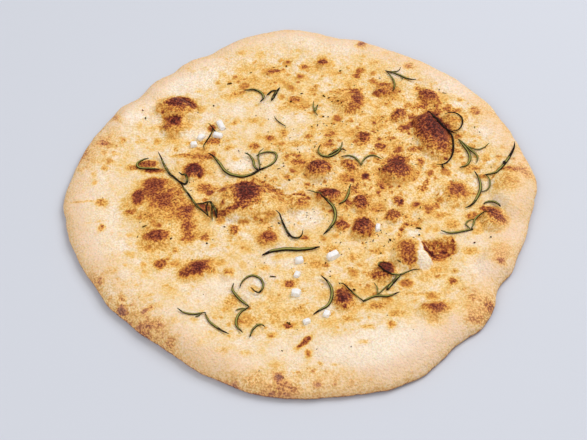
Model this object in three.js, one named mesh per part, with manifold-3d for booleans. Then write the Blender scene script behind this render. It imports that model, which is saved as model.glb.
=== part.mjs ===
// A round focaccia, hand-stretched and baked flat, with rosemary and coarse salt on top.
// Millimetres, +Z up. The origin is under the middle of the bread's outline, on the flat underside.
import * as THREE from "three";
import { mergeVertices } from "three/addons/utils/BufferGeometryUtils.js";
import Module from "manifold-3d";

const wasm = await Module();
wasm.setup();

const radians = THREE.MathUtils.degToRad;

// ---------------------------------------------------------------- driving dimensions

// The bread's edge, as its distance from the middle every 6 degrees, anticlockwise from +X.
const EDGE_RADII = [
  143, 141.5, 140, 140, 140, 141, 140, 140.5, 140, 140.5,
  140, 141, 143, 142.5, 146, 149.5, 148.5, 147, 143.5, 139.5,
  140, 136.5, 137.5, 134, 137.5, 137, 138, 139, 139.5, 141,
  142, 140.5, 139.5, 138, 137, 136, 137, 136, 136.5, 136.5,
  138.5, 142, 144, 147.5, 148.5, 149, 149.5, 150.5, 151.5, 150.5,
  146.5, 143, 144.5, 141, 135.5, 136.5, 136, 137, 137.5, 140,
];
const THICKNESS = 7.2; // of the crumb between the bubbles
const RIM_WIDTH = 24; // of the puffed border
const RIM_RISE = 1.6; // of the puffed border over the middle
const EDGE_ROLL = 13; // how far in the top starts to roll over the edge
const FOOT_INSET = 3.5; // how far in the underside lifts off the table
const WIDEST = 0.32; // the side is widest at this share of the thickness
const SWELL = 0.7; // of the slow rise and fall of the whole top

// The net of the top: RINGS rings, each with six more points than the one inside it.
const RINGS = 31;
const SIDE_LEANS = [64, 40, 17, -24, -90]; // the turns of the rings round the edge, 90 on top, -90 below

// Toppings
const LEAF_RISE = 1.22; // of a leaf's middle line over the crust
const LEAF_THICKNESS = 0.4; // of a leaf, as a share of its width
const LEAF_STEP = 3.4; // between two sections of a leaf
const LEAF_REACH = 1.6; // how far round a leaf's middle line the crust is felt for
const FREE_END = 0.3; // a leaf's width at an end that stands free, as a share of its full width
const JOINED_END = 0.8; // the same at an end that grows out of another leaf
const SALT_SUNK = 0.3; // share of a salt grain's height that is in the crust

// Places are written down as they are seen from EYE, on a level plane SEEN_HEIGHT up.
const EYE = new THREE.Vector3(-4.4, -576, 617);
const SEEN_HEIGHT = 7;

// Bubbles under the crust: seen place, half length, half width, turn in degrees, height.
const BUBBLES = [
  // broad pillows
  [-80, -4, 33, 26, 20, 5.5],
  [-33, -4, 27, 17, -18, 7],
  [52, -112, 60, 27, 8, 3],
  [-62, -108, 48, 20, -38, 2],
  [128, -8, 15, 23, 8, 5.5],
  [-60, 25, 24, 12, 0, 2.5],
  [112, -62, 15, 12, 40, 3.5],
  [-108, 68, 14, 18, -35, 2.5],
  [40, 20, 60, 45, 0, 1.8],
  // blisters at the far side
  [-76, 78, 14, 9.4, -18, 7],
  [-76.5, 62, 9, 8.6, 60, 5.5],
  [20, 112, 6, 5, 0, 2.8],
  [-13, 105, 9, 4, 0, 1.6],
  [36, 76, 15, 12, -20, 4],
  [57, 85, 7, 6, 0, 3.2],
  [65, 61, 6, 5.4, 10, 3],
  [84, 77, 8, 5.6, -50, 2.2],
  [84, 46, 10.6, 21.5, 14, 7],
  [98, 53, 9, 9, 0, 2.5],
  [42, 42, 8, 9, 0, 2.2],
  // blisters in the middle
  [-64, 18.5, 7, 6.4, 0, 4.2],
  [12.8, 16.2, 8.8, 8.8, 0, 5.2],
  [60, 12.8, 10.4, 9.8, 0, 5.8],
  [31, 16.4, 5.4, 5.4, 0, 2],
  [17, -5.4, 8, 5.6, -10, 3],
  [35.4, -13.4, 5, 7, 0, 3.5],
  [36.4, -31.6, 7.4, 7.8, 0, 5],
  [23.8, -30, 4.4, 4.4, 0, 2.2],
  [54.4, -25, 5.6, 5.4, 0, 3],
  [57.8, -13.2, 3.8, 4.6, 0, 1.8],
  [-1.6, -10.8, 7.2, 6.2, 0, 3.8],
  [-19, -37, 9, 8, 0, 3],
  [74, -22, 9, 9, 0, 2.2],
  [92, -7, 13, 11, 0, 4],
  [113, -28, 7.6, 9.6, 12, 4.2],
  // blisters at the near side
  [-83, -33, 13, 9, 0, 3.4],
  [-81, -56, 6, 5, 0, 2],
  [-61, -58, 13, 8, 20, 4.6],
  [-43, -63, 6, 6, 0, 2.4],
  [-38, -31, 6, 7, 0, 2],
  [46, -65.4, 7.6, 6.2, 0, 4],
  [22, -84.6, 6, 8, 0, 3.6],
  [72, -96, 12, 8, 0, 4],
  // the burst blister: what is left of its roof, and its open floor
  [64, -51, 13, 14, 10, 5],
  [79, -51, 10, 8, -10, -3.6],
];

// Coarse salt: seen place, length, width, height, turn in degrees.
const SALT = [
  [-64, 40.5, 4.4, 4, 3, 10],
  [-59.6, 46.5, 5.2, 3.6, 3, 55],
  [-49.2, 47.6, 6.4, 3.6, 3, -30],
  [-47.3, 56.5, 9, 4, 3, -62],
  [17.4, -54.6, 8, 5, 4, 22],
  [-2, -57, 5, 4.8, 3.4, 0],
  [-3.6, -67.6, 4.6, 3.4, 3, 70],
  [-4.6, -81, 5.6, 4.8, 3.6, -10],
  [11.8, -96.6, 4.8, 3.8, 2.8, 60],
  [0.6, -101.2, 4.6, 3.6, 2.6, 15],
  [44.6, -34.2, 5.6, 3, 2.6, 72],
];

// Sprigs of rosemary. A leaf is its width, how high its first and last ends curl up (0 where an end
// joins another leaf), then the seen places that it runs through.
const SPRIGS = {
  sickle_far: [[2.4, 1, 2.4, [-33, 88.6], [-28, 89], [-23, 87], [-20.4, 83], [-20.6, 79.6], [-22.6, 77.3]]],
  stub_pair: [
    [3, 2, 0.4, [-9.6, 89.8], [-11.6, 86.4], [-13.4, 82.4], [-15.4, 77.8]],
    [1.8, 0, 1.6, [-11.4, 86.6], [-13.8, 87.2], [-16, 85.4], [-18.2, 82.8]],
  ],
  tiny_fork: [
    [1.4, 1, 0.4, [11.6, 76], [11.2, 71], [12, 66], [13.6, 62.2]],
    [1.9, 1.4, 0, [14, 72.2], [12.9, 69.4], [12, 66.4]],
  ],
  dry_thread: [[1.1, 0.4, 0.4, [-14, 63.6], [-12.4, 59.8], [-9.8, 56.6], [-6.6, 53.6]]],
  twig_in_salt: [
    [1.2, 1.6, 0.4, [-55.4, 59.8], [-53.6, 57], [-52.6, 53.6], [-53.6, 49.4], [-56, 44], [-58, 39.6], [-57.2, 35.6]],
    [1.1, 0, 1, [-53, 55.2], [-51.6, 53.2], [-50.6, 51.6]],
  ],
  long_dark: [
    [2.1, 2.4, 0, [-86, 36], [-84, 30.6], [-81.8, 24], [-79, 17.8], [-75, 12.8], [-71.8, 9]],
    [1.9, 0.4, 0.8, [-72.4, 9.6], [-69.4, 4], [-65.6, -3], [-62, -10], [-57.6, -15.4], [-53.6, -20.4]],
    [2.1, 0, 3, [-72, 9.4], [-68.8, 7.4], [-67.6, 10.6], [-69, 15.4], [-73, 17.8]],
    [1.4, 0, 1.6, [-63, -9.4], [-58.4, -9], [-54.6, -7.8], [-52.8, -8.6], [-52.4, -15], [-52.2, -23.8]],
    [1.9, 0, 0.4, [-53.6, -8], [-51.2, -12.8], [-50, -17], [-49.6, -21.4]],
    [1.3, 0, 0, [-54.4, -7.6], [-55.8, -12], [-54.6, -19.2]],
  ],
  curl_left: [[2.3, 2.8, 0.6, [-91.6, 30.6], [-95, 29.6], [-98, 27.4], [-98.2, 24], [-94.6, 22.2], [-89.4, 21.6], [-84.4, 20.8]]],
  long_loop: [
    [2.9, 1.6, 0, [-55, 33], [-51, 28.8], [-47.6, 22.8], [-44.6, 17], [-39.4, 13.2], [-33.4, 11.8], [-28.6, 13.4], [-24.6, 16.2]],
    [2.2, 0, 2.4, [-24.4, 16], [-26.8, 20], [-27.6, 25], [-29.6, 29.6], [-32.6, 32]],
    [2.1, 2, 0, [-26, 28.6], [-22, 31.2], [-17, 31.9], [-13.7, 30.2], [-13.4, 26], [-16, 21.6], [-20, 18.8], [-24.2, 16.6]],
    [1.4, 0, 2.2, [-23.8, 16.8], [-23.6, 21.4], [-24.4, 27.4], [-23.6, 32], [-21, 35.2]],
  ],
  cup: [
    [2.2, 2.2, 0.8, [14.2, 36.6], [12.6, 32.4], [13.2, 28.6], [16.2, 26.2], [19.8, 26], [24, 28.6], [26.8, 31.8], [29.8, 30]],
    [1.9, 0, 2.4, [18.4, 26.4], [22, 29.6], [25.8, 32.4], [27.2, 35], [27.6, 38.4]],
  ],
  bird: [
    [1.8, 1, 0.4, [26.2, 24.9], [30, 26], [34, 24.6], [36.6, 21], [38.2, 16.6]],
    [1.7, 0.4, 1, [38, 17], [39.6, 21.4], [43, 24.9], [47, 25], [50.8, 21.8]],
  ],
  long_bent: [
    [1.3, 0.8, 0.4, [4.4, -1.6], [8, -3], [12, -4.4], [13.6, -7.4]],
    [2.9, 0.2, 0.8, [12.4, -6.2], [15.6, -10], [18.8, -14.8], [20.4, -20.6], [19.6, -27], [16.8, -32.2], [12.6, -37.6]],
  ],
  hook_right: [[2.2, 2.4, 0.4, [30.6, 1.6], [29.4, -4], [28, -8.4], [25.8, -12], [22.6, -14.2]]],
  hook_dark: [[2, 1, 2.4, [-14.8, -16.8], [-12.2, -20.6], [-10.4, -28], [-8.2, -34.6], [-5.4, -38.8], [-2, -39.4], [0.2, -36.8], [1, -32.6]]],
  flat_leaf: [[3.6, 0.6, 0.6, [-23.4, -51.6], [-18, -48.8], [-12, -47.8], [-4, -48.2], [4, -48], [10.2, -47]]],
  round_loop: [[2, 0.6, 2, [-36.2, -75.6], [-35, -71], [-31.4, -67], [-27, -67], [-23.7, -70.4], [-23, -75], [-25.2, -79], [-27.6, -78], [-30.2, -74.8]]],
  s_sprig: [
    [2.4, 2, 0.2, [-39.6, -71.4], [-40.4, -76], [-38, -80.8], [-34.6, -85.2], [-30.8, -89.2]],
    [2.2, 0.2, 0.8, [-31, -89.2], [-35.4, -92], [-38, -97], [-38, -102], [-34.8, -106.8]],
    [1.2, 0, 0.6, [-33.4, -90.2], [-36, -90], [-38.8, -91.2]],
  ],
  small_arc: [[1.8, 0.2, 1, [-31, -110.4], [-29.4, -105.4], [-26.6, -102], [-24.2, -101.8], [-22.4, -103.6]]],
  bird_near: [
    [1.8, 0.8, 0.3, [-71.2, -87.8], [-67.6, -91], [-63, -92.4], [-57.8, -92], [-55, -91.8]],
    [1.9, 0.3, 0.4, [-56, -91.4], [-53.4, -97.6], [-49.8, -101.8], [-46, -105], [-42.4, -107.2]],
    [1.2, 0, 0.4, [-57.4, -92], [-59, -93.6], [-61, -94.6]],
  ],
  sickle_near: [[2.6, 1.4, 0.4, [9.8, -68.4], [13, -72.6], [15.3, -78], [15.3, -84], [13, -89.8], [8.6, -93], [4.4, -96.2]]],
  near_sprig: [
    [1.3, 1, 0, [19.4, -74.4], [22.4, -75.4], [25.2, -79.2], [29, -84], [32.8, -88.6]],
    [2.1, 0, 0.6, [32.4, -88.4], [37, -85.8], [41, -84.8], [45, -85.4], [49, -84.6], [53.2, -82.8]],
    [1.1, 1.8, 0, [39.4, -75.2], [41, -79], [40.8, -85]],
    [1.3, 0, 0, [40.6, -84.4], [44.6, -80], [48.4, -76.6]],
    [2.8, 0, 0.6, [46.4, -80.8], [49.4, -76.6], [52.4, -72.8], [55.2, -69.8]],
    [1.7, 1.8, 0.8, [48.6, -61.6], [45.4, -60.4], [42.9, -61.8], [45.2, -65.8], [50, -69.4], [55, -70], [60, -67.8], [66.2, -66.8]],
  ],
  far_fork: [
    [2, 0.2, 1.2, [58.6, 101.8], [64, 99.4], [70, 95.4], [74, 92.6], [78.2, 92]],
    [1.7, 0.2, 1.6, [59.4, 101.2], [62.4, 95.6], [63.9, 90], [63.6, 85.6], [62.4, 81.6]],
    [1, 0, 1.6, [61, 100.8], [65, 100.4], [68, 101.6], [69.2, 104.6]],
    [1, 0, 0.4, [68, 96.8], [69.2, 95], [69.6, 92.4]],
  ],
  scorched_loop: [
    [2.1, 2, 0.4, [82.8, 62.8], [86, 58], [88.6, 52.4], [91.6, 47], [95, 43.6], [98.6, 41.4]],
    [1.5, 3, 0.6, [93.2, 58.8], [97, 60.2], [101, 58.6], [103.6, 54], [102.6, 48], [99.6, 44.2], [95.2, 43.4]],
    [1.8, 0, 0.4, [91.6, 46.6], [94.4, 42.6], [95.8, 38.4], [95.6, 31], [94.4, 24.2], [92, 19], [88.4, 15.6], [83.4, 15.4]],
    [1.4, 0, 0.6, [87.4, 15.6], [87, 13.8], [87.8, 11.8]],
  ],
  green_fan: [
    [2.5, 0.6, 0.8, [98.8, 36.4], [101.6, 30.6], [104, 24.6], [104.4, 19], [102, 14], [97.2, 11.8]],
    [1.9, 0.6, 0.8, [99.4, 36], [103.2, 30.6], [105.6, 26.4], [108.4, 22.4], [109.2, 19.4], [108, 15.2]],
    [1.3, 0, 1.6, [103, 31], [107, 27.6], [110.6, 26.6], [114.2, 28.2], [117.8, 31.8]],
  ],
  edge_sprig: [
    [2.7, 1.6, 0.2, [133.4, 32], [132.2, 26.6], [129.2, 20.6], [125.6, 14.8], [121.2, 9.4], [116.6, 6], [111.4, 4.8]],
    [1.5, 0.2, 0.4, [111.8, 5.4], [114, 1.6], [113.6, -4], [111.4, -7.6], [107, -9.4]],
    [2.6, 1, 0.6, [105.8, 8.8], [107.6, 3], [108.2, -3], [107, -9], [104, -15], [101.4, -18.6], [97, -21]],
    [1.3, 0, 0.8, [126.6, 16], [125, 15.8], [123.8, 14.6]],
  ],
  short_arc: [[2.2, 0.6, 1, [107.8, -18.8], [111, -16.9], [114.6, -17.4], [117.8, -21.4]]],
  folded_sprig: [
    [1.8, 1.2, 0.2, [109.8, -24.8], [106, -26.6], [102, -30], [100, -35], [98.2, -38.6]],
    [1.5, 0.2, 0.2, [101.6, -30.6], [97.4, -31.6], [96, -34.6], [98.4, -38.6]],
    [2, 0, 0.8, [99.6, -38.2], [93, -39.6], [87, -40.4], [80.8, -38.2]],
  ],
};

const COLOURS = { bread: 0xe0b878, rosemary: 0x46502e, scorched: 0x30231a };
const SCORCHED = new Set(["scorched_loop", "long_dark", "hook_dark"]);

// ---------------------------------------------------------------- the shape of the bread

// The edge's distance from the middle at an angle, smooth through EDGE_RADII.
function edgeRadius(angle) {
  const turns = angle / (2 * Math.PI);
  const place = (turns - Math.floor(turns)) * EDGE_RADII.length;
  const i = Math.floor(place);
  const t = place - i;
  const at = (k) => EDGE_RADII[(i + k + EDGE_RADII.length) % EDGE_RADII.length];
  const [a, b, c, d] = [at(-1), at(0), at(1), at(2)];
  return b + 0.5 * t * (c - a + t * (2 * a - 5 * b + 4 * c - d + t * (3 * (b - c) + d - a)));
}

// A bubble's dome, 1 at its top and 0 from q = 1 outwards.
const dome = (q) => (q < 1 ? Math.pow(1 - Math.pow(q, 2.4), 1.6) : 0);

// Where a point of height z really is, if it is seen at (x, y) on the plane SEEN_HEIGHT up.
function alongSight(x, y, z) {
  const share = (z - SEEN_HEIGHT) / (EYE.z - SEEN_HEIGHT);
  return [x + share * (EYE.x - x), y + share * (EYE.y - y)];
}

const bubbles = BUBBLES.map(([seenX, seenY, long, wide, turn, height]) => {
  const [x, y] = alongSight(seenX, seenY, THICKNESS + Math.max(height, 0));
  return { x, y, long, wide, cos: Math.cos(radians(turn)), sin: Math.sin(radians(turn)), height };
});

// The height of the top over the plan point (x, y), before it rolls over the edge.
function topHeight(x, y) {
  const inward = edgeRadius(Math.atan2(y, x)) - Math.hypot(x, y);
  const rim = dome(Math.abs(inward - RIM_WIDTH / 2) / RIM_WIDTH) * RIM_RISE;
  const swell = SWELL * (Math.sin(x / 31 + 1) * Math.cos(y / 27) + 0.5 * Math.sin((x + y) / 17));
  let z = THICKNESS + rim + swell;
  for (const b of bubbles) {
    const dx = x - b.x;
    const dy = y - b.y;
    z += b.height * dome(Math.hypot((dx * b.cos + dy * b.sin) / b.long, (dy * b.cos - dx * b.sin) / b.wide));
  }
  return z;
}

// The height of the crust over (x, y), with the rolled edge; the underside's height where there is none.
function crustHeight(x, y) {
  const inward = edgeRadius(Math.atan2(y, x)) - Math.hypot(x, y);
  if (inward <= 0) return WIDEST * THICKNESS;
  const top = topHeight(x, y);
  const widest = WIDEST * THICKNESS;
  const lean = 1 - Math.min(inward / EDGE_ROLL, 1);
  return widest + (top - widest) * Math.sqrt(1 - lean * lean);
}

// Where on the crust a point lies that is seen at (x, y).
function settle([seenX, seenY]) {
  let [x, y] = [seenX, seenY];
  for (let round = 0; round < 8; round++) {
    const [nextX, nextY] = alongSight(seenX, seenY, crustHeight(x, y));
    [x, y] = [(x + nextX) / 2, (y + nextY) / 2];
  }
  return [x, y];
}

// ---------------------------------------------------------------- solids

// A closed three.js geometry as a solid that can be joined to others.
function solidOf(geometry) {
  const bare = geometry.clone();
  bare.deleteAttribute("normal");
  bare.deleteAttribute("uv");
  const merged = mergeVertices(bare, 1e-4);
  return new wasm.Manifold(
    new wasm.Mesh({
      numProp: 3,
      vertProperties: merged.attributes.position.array,
      triVerts: new Uint32Array(merged.index.array),
    }),
  );
}

function geometryOf(solid) {
  const { vertProperties, triVerts } = solid.getMesh();
  const geometry = new THREE.BufferGeometry();
  geometry.setAttribute("position", new THREE.BufferAttribute(vertProperties, 3));
  geometry.setIndex(new THREE.BufferAttribute(triVerts, 1));
  geometry.computeVertexNormals();
  return geometry;
}

function geometryFrom(points, triangles) {
  const geometry = new THREE.BufferGeometry();
  geometry.setAttribute("position", new THREE.Float32BufferAttribute(points.flat(), 3));
  geometry.setIndex(triangles.flat());
  return geometry;
}

// The bread: a net of triangles over the top, rings round the edge, and a flat underside.
function breadSolid() {
  const points = [[0, 0, topHeight(0, 0)]];
  const triangles = [];
  const starts = [0]; // the first point of each ring

  for (let ring = 1; ring <= RINGS; ring++) {
    starts.push(points.length);
    for (let i = 0; i < 6 * ring; i++) {
      const angle = (i / (6 * ring)) * 2 * Math.PI;
      const r = (ring / RINGS) * (edgeRadius(angle) - EDGE_ROLL);
      const [x, y] = [r * Math.cos(angle), r * Math.sin(angle)];
      points.push([x, y, topHeight(x, y)]);
    }
    const at = (k, i) => (k === 0 ? 0 : starts[k] + (i % (6 * k)));
    for (let sector = 0; sector < 6; sector++) {
      for (let j = 0; j < ring; j++) {
        const inner = sector * (ring - 1) + j;
        const outer = sector * ring + j;
        triangles.push([at(ring - 1, inner), at(ring, outer), at(ring, outer + 1)]);
        if (j < ring - 1) triangles.push([at(ring - 1, inner), at(ring, outer + 1), at(ring - 1, inner + 1)]);
      }
    }
  }

  const around = 6 * RINGS;
  for (const lean of SIDE_LEANS.map(radians)) {
    const before = points.length - around;
    for (let i = 0; i < around; i++) {
      const angle = (i / around) * 2 * Math.PI;
      const inset = lean > 0 ? EDGE_ROLL : FOOT_INSET;
      const r = edgeRadius(angle) - inset * (1 - Math.cos(lean));
      const [x, y] = [r * Math.cos(angle), r * Math.sin(angle)];
      const widest = WIDEST * THICKNESS;
      const z = lean > 0 ? widest + (topHeight(x, y) - widest) * Math.sin(lean) : widest * (1 + Math.sin(lean));
      points.push([x, y, z]);
      const next = (i + 1) % around;
      triangles.push([before + i, before + around + i, before + around + next]);
      triangles.push([before + i, before + around + next, before + next]);
    }
  }

  const foot = points.length - around;
  points.push([0, 0, 0]);
  for (let i = 0; i < around; i++) triangles.push([points.length - 1, foot + ((i + 1) % around), foot + i]);
  return solidOf(geometryFrom(points, triangles));
}

// A grain of coarse salt, a rough block half sunk in the crust.
function saltSolid([seenX, seenY, length, width, height, turn]) {
  const [x, y] = settle([seenX, seenY]);
  const grain = new THREE.IcosahedronGeometry(0.5, 0);
  grain.scale(length * 1.1, width * 1.1, height * 1.1);
  grain.rotateZ(radians(turn));
  grain.translate(x, y, crustHeight(x, y) + height * (0.5 - SALT_SUNK));
  return solidOf(grain);
}

// The highest crust close to a place, so that no facet pokes through the leaf over it.
function highestNear(x, y) {
  let z = crustHeight(x, y);
  for (let i = 0; i < 8; i++) {
    const angle = (i / 8) * 2 * Math.PI;
    z = Math.max(z, crustHeight(x + LEAF_REACH * Math.cos(angle), y + LEAF_REACH * Math.sin(angle)));
  }
  return z;
}

// Lifts a leaf's point off the crust along the line of sight, so that it is still seen in the same place.
function liftOff(point, lift) {
  const foot = new THREE.Vector3(point.x, point.y, crustHeight(point.x, point.y));
  for (let i = 0; i < 4; i++) {
    const z = highestNear(point.x, point.y) + LEAF_RISE + lift;
    point.lerpVectors(foot, EYE, (z - foot.z) / (EYE.z - foot.z));
  }
  point.z = highestNear(point.x, point.y) + LEAF_RISE + lift;
}

// One leaf: a thin strip with a four-cornered section that follows its places over the crust.
function leafSolid([width, firstLift, lastLift, ...places]) {
  const line = new THREE.CatmullRomCurve3(places.map((p) => new THREE.Vector3(...settle(p), 0)));
  const steps = Math.max(4, Math.round(line.getLength() / LEAF_STEP));
  const middles = line.getSpacedPoints(steps);
  const thickness = THREE.MathUtils.clamp(LEAF_THICKNESS * width, 0.75, 1.15);
  const [firstEnd, lastEnd] = [firstLift, lastLift].map((lift) => (lift === 0 ? JOINED_END : FREE_END));
  const points = [];
  middles.forEach((p, i) => {
    const share = i / steps;
    const lift = firstLift * Math.max(0, 1 - share / 0.4) ** 2 + lastLift * Math.max(0, (share - 0.6) / 0.4) ** 2;
    liftOff(p, lift);
    const along = line.getTangentAt(share);
    const end = firstEnd + (lastEnd - firstEnd) * share;
    const half = (width / 2) * (end + (1 - end) * Math.sin(share * Math.PI) ** 0.7);
    const [sideX, sideY] = [-along.y * half, along.x * half];
    points.push([p.x - sideX, p.y - sideY, p.z], [p.x, p.y, p.z - thickness / 2]);
    points.push([p.x + sideX, p.y + sideY, p.z], [p.x, p.y, p.z + thickness / 2]);
  });
  const triangles = [
    [0, 2, 1], [0, 3, 2],
    [4 * steps, 4 * steps + 1, 4 * steps + 2], [4 * steps, 4 * steps + 2, 4 * steps + 3],
  ];
  for (let i = 0; i < steps; i++) {
    for (let j = 0; j < 4; j++) {
      const [a, b] = [4 * i + j, 4 * i + ((j + 1) % 4)];
      triangles.push([a, b, b + 4], [a, b + 4, a + 4]);
    }
  }
  return solidOf(geometryFrom(points, triangles));
}

// ---------------------------------------------------------------- the group

function meshOf(name, solid, colour, roughness) {
  const material = new THREE.MeshStandardMaterial({ color: colour, roughness, metalness: 0 });
  const mesh = new THREE.Mesh(geometryOf(solid), material);
  mesh.name = name;
  return mesh;
}

const focaccia = new THREE.Group();
const bread = SALT.reduce((whole, grain) => whole.add(saltSolid(grain)), breadSolid());
focaccia.add(meshOf("bread", bread, COLOURS.bread, 0.7));

for (const [name, leaves] of Object.entries(SPRIGS)) {
  const sprig = leaves.map(leafSolid).reduce((whole, leaf) => whole.add(leaf));
  const colour = SCORCHED.has(name) ? COLOURS.scorched : COLOURS.rosemary;
  focaccia.add(meshOf("rosemary_" + name, sprig, colour, 0.55));
}

// The outline's middle goes to the origin.
const box = new THREE.Box3().setFromObject(focaccia.getObjectByName("bread"));
const middle = box.getCenter(new THREE.Vector3());
focaccia.position.set(-middle.x, -middle.y, 0);

export default focaccia;
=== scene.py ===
import logging
import math
from dataclasses import dataclass, field
from enum import Enum
from typing import Any, Sequence

import bpy
import numpy as np
from mathutils import Matrix, Vector, noise


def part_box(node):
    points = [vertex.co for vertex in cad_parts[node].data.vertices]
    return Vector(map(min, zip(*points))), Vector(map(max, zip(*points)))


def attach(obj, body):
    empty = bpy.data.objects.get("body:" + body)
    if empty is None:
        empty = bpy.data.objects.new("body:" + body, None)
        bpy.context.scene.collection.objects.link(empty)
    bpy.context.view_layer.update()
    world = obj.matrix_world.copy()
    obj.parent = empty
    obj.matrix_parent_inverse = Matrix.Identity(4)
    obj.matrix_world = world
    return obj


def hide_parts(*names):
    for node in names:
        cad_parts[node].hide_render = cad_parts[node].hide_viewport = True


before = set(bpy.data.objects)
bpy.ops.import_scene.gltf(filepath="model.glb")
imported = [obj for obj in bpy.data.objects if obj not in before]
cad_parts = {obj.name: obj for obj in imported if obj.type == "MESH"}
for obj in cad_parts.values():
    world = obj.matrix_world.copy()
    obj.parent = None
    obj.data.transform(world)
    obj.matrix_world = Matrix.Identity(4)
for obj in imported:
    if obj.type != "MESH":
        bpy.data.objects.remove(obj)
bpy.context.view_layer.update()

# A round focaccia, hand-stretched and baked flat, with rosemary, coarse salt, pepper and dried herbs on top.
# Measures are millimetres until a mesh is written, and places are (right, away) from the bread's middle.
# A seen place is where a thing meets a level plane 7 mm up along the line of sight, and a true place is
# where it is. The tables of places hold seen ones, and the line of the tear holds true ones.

logging.basicConfig(level=logging.INFO, format="%(message)s")
LOG = logging.getLogger("focaccia")
MM = 0.001
Place = tuple[float, float]
Spot = tuple[float, ...]  # seen place, half length, half width, turn in degrees, and a height or strength

# The edge's distance from the middle every 6 degrees, anticlockwise from the right.
EDGE_RADII = (
    143, 141.5, 140, 140, 140, 141, 140, 140.5, 140, 140.5,
    140, 141, 143, 142.5, 146, 149.5, 148.5, 147, 143.5, 139.5,
    140, 136.5, 137.5, 134, 137.5, 137, 138, 139, 139.5, 141,
    142, 140.5, 139.5, 138, 137, 136, 137, 136, 136.5, 136.5,
    138.5, 142, 144, 147.5, 148.5, 149, 149.5, 150.5, 151.5, 150.5,
    146.5, 143, 144.5, 141, 135.5, 136.5, 136, 137, 137.5, 140,
)

# Broad soft pillows of the dough, with their heights.
PILLOWS: tuple[Spot, ...] = (
    (-80, -4, 33, 26, 20, 5.5), (52, -112, 60, 27, 8, 3), (-62, -108, 48, 20, -38, 2),
    (128, -8, 15, 23, 8, 5.5), (-60, 25, 24, 12, 0, 2.5), (112, -62, 15, 12, 40, 3.5),
    (-108, 68, 14, 18, -35, 2.5), (40, 20, 60, 45, 0, 1.8), (20, 112, 6, 5, 0, 2.8),
    (-13, 105, 9, 4, 0, 1.6), (36, 76, 15, 12, -20, 4), (98, 53, 9, 9, 0, 2.5), (42, 42, 8, 9, 0, 2.2),
    (74, -22, 9, 9, 0, 2.2), (92, -7, 13, 11, 0, 4), (-83, -33, 13, 9, 0, 3.4), (-81, -56, 6, 5, 0, 2),
    (-61, -58, 13, 8, 20, 4.6), (-43, -63, 6, 6, 0, 2.4), (-38, -31, 6, 7, 0, 2), (-19, -37, 9, 8, 0, 3),
    (72, -96, 12, 8, 0, 4),
)

# Tight blisters with steep sides, with their heights and how brown they are all over.
BLISTERS: tuple[Spot, ...] = (
    (-76, 78, 14, 9.4, -18, 7, 0.26), (-76.5, 62, 9, 8.6, 60, 5.5, 0.14), (57, 85, 7, 6, 0, 3.2, 0.4),
    (65, 61, 6, 5.4, 10, 3, 0.55), (84, 77, 8, 5.6, -50, 2.2, 0.45), (84, 46, 10.6, 21.5, 14, 7, 0.78),
    (-64, 18.5, 7, 6.4, 0, 4.2, 0.5), (12.8, 16.2, 8.8, 8.8, 0, 5.2, 0.7),
    (60, 12.8, 10.4, 9.8, 0, 5.8, 0.62), (31, 16.4, 5.4, 5.4, 0, 2, 0.32), (17, -5.4, 8, 5.6, -10, 3, 0.55),
    (35.4, -13.4, 5, 7, 0, 3.5, 0.74), (36.4, -31.6, 7.4, 7.8, 0, 5, 0.66),
    (23.8, -30, 4.4, 4.4, 0, 2.2, 0.5), (54.4, -25, 5.6, 5.4, 0, 3, 0.62),
    (57.8, -13.2, 3.8, 4.6, 0, 1.8, 0.5), (-1.6, -10.8, 7.2, 6.2, 0, 3.8, 0.26),
    (-31, -4, 24, 15, -14, 7.5, 0.08), (113, -28, 7.6, 9.6, 12, 4.2, 0.34),
    (46, -65.4, 7.6, 6.2, 0, 4, 0.5), (22, -84.6, 6, 8, 0, 3.6, 0.52),
)

# Creases of the crust: both seen ends, half width, strength of their browning, depth.
CREASES: tuple[Spot, ...] = (
    (-24, 7, -10, -2, 1.2, 0.42, 0.45), (-21, 3.5, -8, -6, 1.1, 0.4, 0.4),
    (-27, 8.6, -14, 4, 1.1, 0.35, 0.4), (-16, -5, -9, -10, 1.0, 0.35, 0.35),
    (-137, -4, -119, -3, 0.9, 0.34, 0.5), (54, -84.5, 76, -85.5, 0.9, 0.3, 0.5),
    (76, -85.5, 92, -82, 0.9, 0.22, 0.4), (112, 16, 120, 19.5, 1.1, 0.3, 0.6),
    (120, 19.5, 130, 18, 1.1, 0.35, 0.6), (130, 18, 138, 9, 1.1, 0.4, 0.6),
    (138, 9, 141, -4, 1.0, 0.3, 0.5), (108, 8, 112, 16, 1.1, 0.25, 0.5),
    (56.6, -41, 58.2, -36, 2.2, 0.55, 0.5), (58.2, -36, 61.6, -32.6, 2.2, 0.6, 0.5),
    (61.6, -32.6, 70, -30.6, 1.6, 0.45, 0.5), (-8, -7.4, -2.6, -4.4, 0.9, 0.5, 0.3),
    (-2.6, -4.4, 2.4, -5.4, 1.1, 0.95, 0.4), (2.4, -5.4, 5.6, -9, 1.0, 0.85, 0.4),
    (115, 1.6, 119, 7.6, 1.0, 0.6, 0.5), (119, 7.6, 127, 11, 1.1, 0.7, 0.5),
    (127, 11, 136, 8.4, 1.0, 0.5, 0.4), (-128, -21, -114, -20, 0.8, 0.15, 0.4),
    (-108, 84, -92, 96, 0.9, 0.2, 0.4), (96, -72, 108, -78, 0.8, 0.2, 0.4), (70, 4, 76, 18, 1.2, 0.35, 0.4),
    (84, -39, 100, -37.5, 1.0, 0.2, 0.5),
)

# Charred stretches along the tear, in the same form as the creases.
CHARRED: tuple[Spot, ...] = (
    (69.6, -46.4, 71.2, -51.4, 0.9, 0.86, 0), (71.2, -51.4, 73.4, -56.6, 1.3, 0.97, 0),
    (73.4, -56.6, 77, -59, 1.0, 0.8, 0), (79.4, -55.6, 82, -55.4, 0.9, 0.95, 0),
    (87, -45.4, 88, -48.4, 0.9, 0.9, 0),
)


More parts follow.
